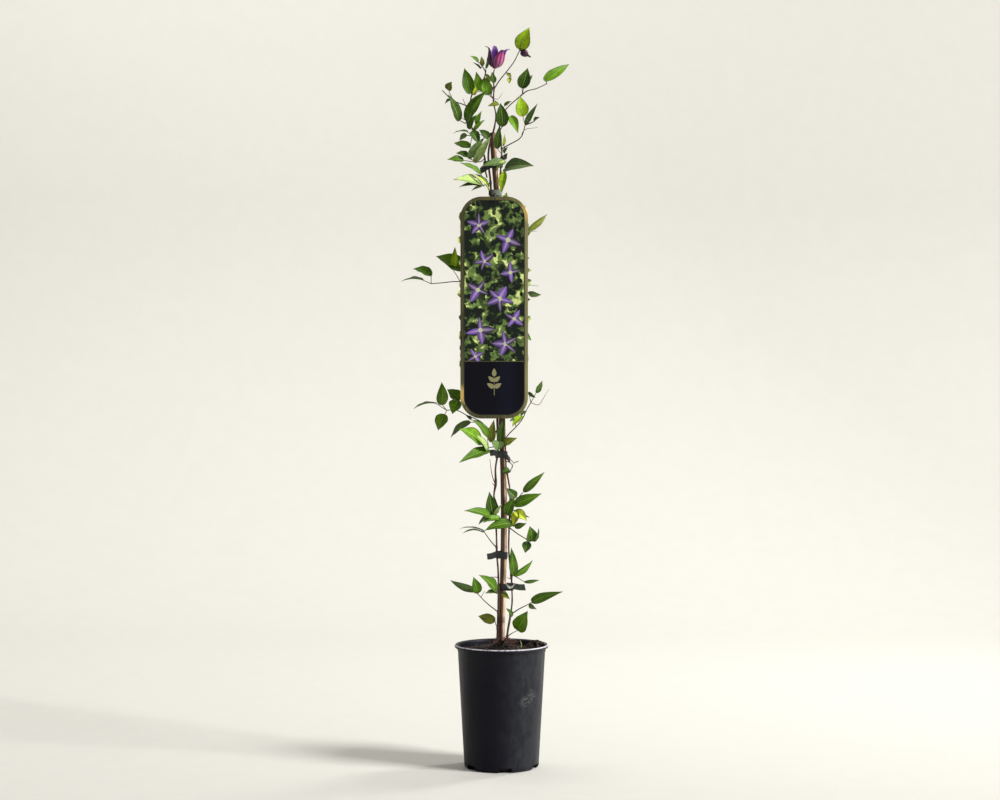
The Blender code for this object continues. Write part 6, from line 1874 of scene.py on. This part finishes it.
class LabelLook(bpy.types.PropertyGroup):
    """Label card."""

    border_width: length_choice("Border", "Width of the metallic border", 0.0065)
    leaf_spacing: length_choice("Leaf spacing", "Nearest that printed leaves lie", 0.0054)
    leaf_length: length_choice("Leaf length", "Length of the largest printed leaf", 0.0290)
    petal_colour: colour_choice("Petals", "Colour of the printed petals", (0.120, 0.055, 0.290))
    petal_middle: colour_choice("Petal middle", "Colour down a printed petal's middle", (0.62, 0.46, 0.82))
    panel_colour: colour_choice("Panel", "Colour of the dark panel", (0.0022, 0.0022, 0.0060))
    gold_colour: colour_choice("Gold", "Colour of the printed sprig", (0.42, 0.40, 0.20))
    back_colour: colour_choice("Back", "Colour of the card's plain back", (0.045, 0.050, 0.040))
    seed: count_choice("Seed", "Seed of the printed picture", 11)


class StageLook(bpy.types.PropertyGroup):
    """Studio."""

    floor_colour: colour_choice("Paper", "Colour of the paper sweep", (0.58, 0.572, 0.530))
    air_colour: colour_choice("Air", "Colour of the light from all round", (1.0, 0.985, 0.95))
    air_strength: number_choice("Air strength", "Strength of the light from all round", 0.22)
    light_strength: number_choice("Light strength", "Strength of the lamps, 1 as set", 1.0)
    lens: number_choice("Lens", "Camera lens in millimetres", 67.32)


class CLEMATIS_OT_pot(bpy.types.Operator):
    """Make the black nursery pot."""

    bl_idname = "clematis.pot"
    bl_label = "Pot"

    def execute(self, context):
        make_pot(context.scene.clematis_pot)
        return {"FINISHED"}


class CLEMATIS_OT_compost(bpy.types.Operator):
    """Fill the pot with bark compost."""

    bl_idname = "clematis.compost"
    bl_label = "Compost"

    def execute(self, context):
        look = context.scene.clematis_compost
        strew_chips(make_compost_bed(look), look)
        heap_crumbs(look)
        grow_sprout(look)
        return {"FINISHED"}


class CLEMATIS_OT_cane(bpy.types.Operator):
    """Stand the bamboo cane in the compost."""

    bl_idname = "clematis.cane"
    bl_label = "Cane"

    def execute(self, context):
        make_cane(context.scene.clematis_cane)
        return {"FINISHED"}


class CLEMATIS_OT_stems(bpy.types.Operator):
    """Grow the three woody stems and their fine roots."""

    bl_idname = "clematis.stems"
    bl_label = "Stems"

    def execute(self, context):
        make_stems(context.scene.clematis_plant)
        return {"FINISHED"}


class CLEMATIS_OT_shoots(bpy.types.Operator):
    """Grow every leafy side shoot."""

    bl_idname = "clematis.shoots"
    bl_label = "Leafy shoots"

    def execute(self, context):
        finishes = [leaf_finish(), stalk_finish()]
        for name in SHOOTS:
            make_shoot(name, context.scene.clematis_plant, finishes)
        return {"FINISHED"}


class CLEMATIS_OT_flower(bpy.types.Operator):
    """Open the flower and hang the bud."""

    bl_idname = "clematis.flower"
    bl_label = "Flower and bud"

    def execute(self, context):
        make_flower(context.scene.clematis_flower)
        make_bud(context.scene.clematis_flower)
        return {"FINISHED"}


class CLEMATIS_OT_ties(bpy.types.Operator):
    """Wind the tapes that hold the stems and the label to the cane."""

    bl_idname = "clematis.ties"
    bl_label = "Ties"

    def execute(self, context):
        finishes = [tape_finish(), clear_tape_finish()]
        for name in TIES:
            make_tie(name, context.scene.clematis_tape, finishes)
        return {"FINISHED"}


class CLEMATIS_OT_label(bpy.types.Operator):
    """Print the label card."""

    bl_idname = "clematis.label"
    bl_label = "Label"

    def execute(self, context):
        make_label(context.scene.clematis_label)
        return {"FINISHED"}


class CLEMATIS_OT_stage(bpy.types.Operator):
    """Set the paper sweep, the lights and the camera."""

    bl_idname = "clematis.stage"
    bl_label = "Studio"

    def execute(self, context):
        make_stage(context.scene.clematis_stage)
        return {"FINISHED"}


STEPS = [
    (CLEMATIS_OT_pot, "clematis_pot", PotLook),
    (CLEMATIS_OT_compost, "clematis_compost", CompostLook),
    (CLEMATIS_OT_cane, "clematis_cane", CaneLook),
    (CLEMATIS_OT_stems, "clematis_plant", PlantLook),
    (CLEMATIS_OT_shoots, "clematis_plant", PlantLook),
    (CLEMATIS_OT_flower, "clematis_flower", FlowerLook),
    (CLEMATIS_OT_ties, "clematis_tape", TapeLook),
    (CLEMATIS_OT_label, "clematis_label", LabelLook),
    (CLEMATIS_OT_stage, "clematis_stage", StageLook),
]


class CLEMATIS_PT_panel(bpy.types.Panel):
    """Sizes and colours of the plant, and a button for each of its pieces."""

    bl_idname = "CLEMATIS_PT_panel"
    bl_label = "Clematis"
    bl_space_type = "VIEW_3D"
    bl_region_type = "UI"
    bl_category = "Clematis"

    def draw(self, context):
        shown = set()
        for operator, holder, look in STEPS:
            box = self.layout.box()
            box.operator(operator.bl_idname)
            if holder not in shown:
                shown.add(holder)
                for choice in look.__annotations__:
                    box.prop(getattr(context.scene, holder), choice)


def register():
    holders = {holder: look for _, holder, look in STEPS}
    for look in holders.values():
        bpy.utils.register_class(look)
    for operator, _, _ in STEPS:
        bpy.utils.register_class(operator)
    bpy.utils.register_class(CLEMATIS_PT_panel)
    for holder, look in holders.items():
        setattr(bpy.types.Scene, holder, bpy.props.PointerProperty(type=look))


def unregister():
    holders = {holder: look for _, holder, look in STEPS}
    for holder in holders:
        delattr(bpy.types.Scene, holder)
    bpy.utils.unregister_class(CLEMATIS_PT_panel)
    for operator, _, _ in STEPS:
        bpy.utils.unregister_class(operator)
    for look in holders.values():
        bpy.utils.unregister_class(look)


def main():
    register()
    bpy.ops.clematis.pot()
    bpy.ops.clematis.compost()
    bpy.ops.clematis.cane()
    bpy.ops.clematis.stems()
    bpy.ops.clematis.shoots()
    bpy.ops.clematis.flower()
    bpy.ops.clematis.ties()
    bpy.ops.clematis.label()
    bpy.ops.clematis.stage()


if __name__ == "__main__":
    main()
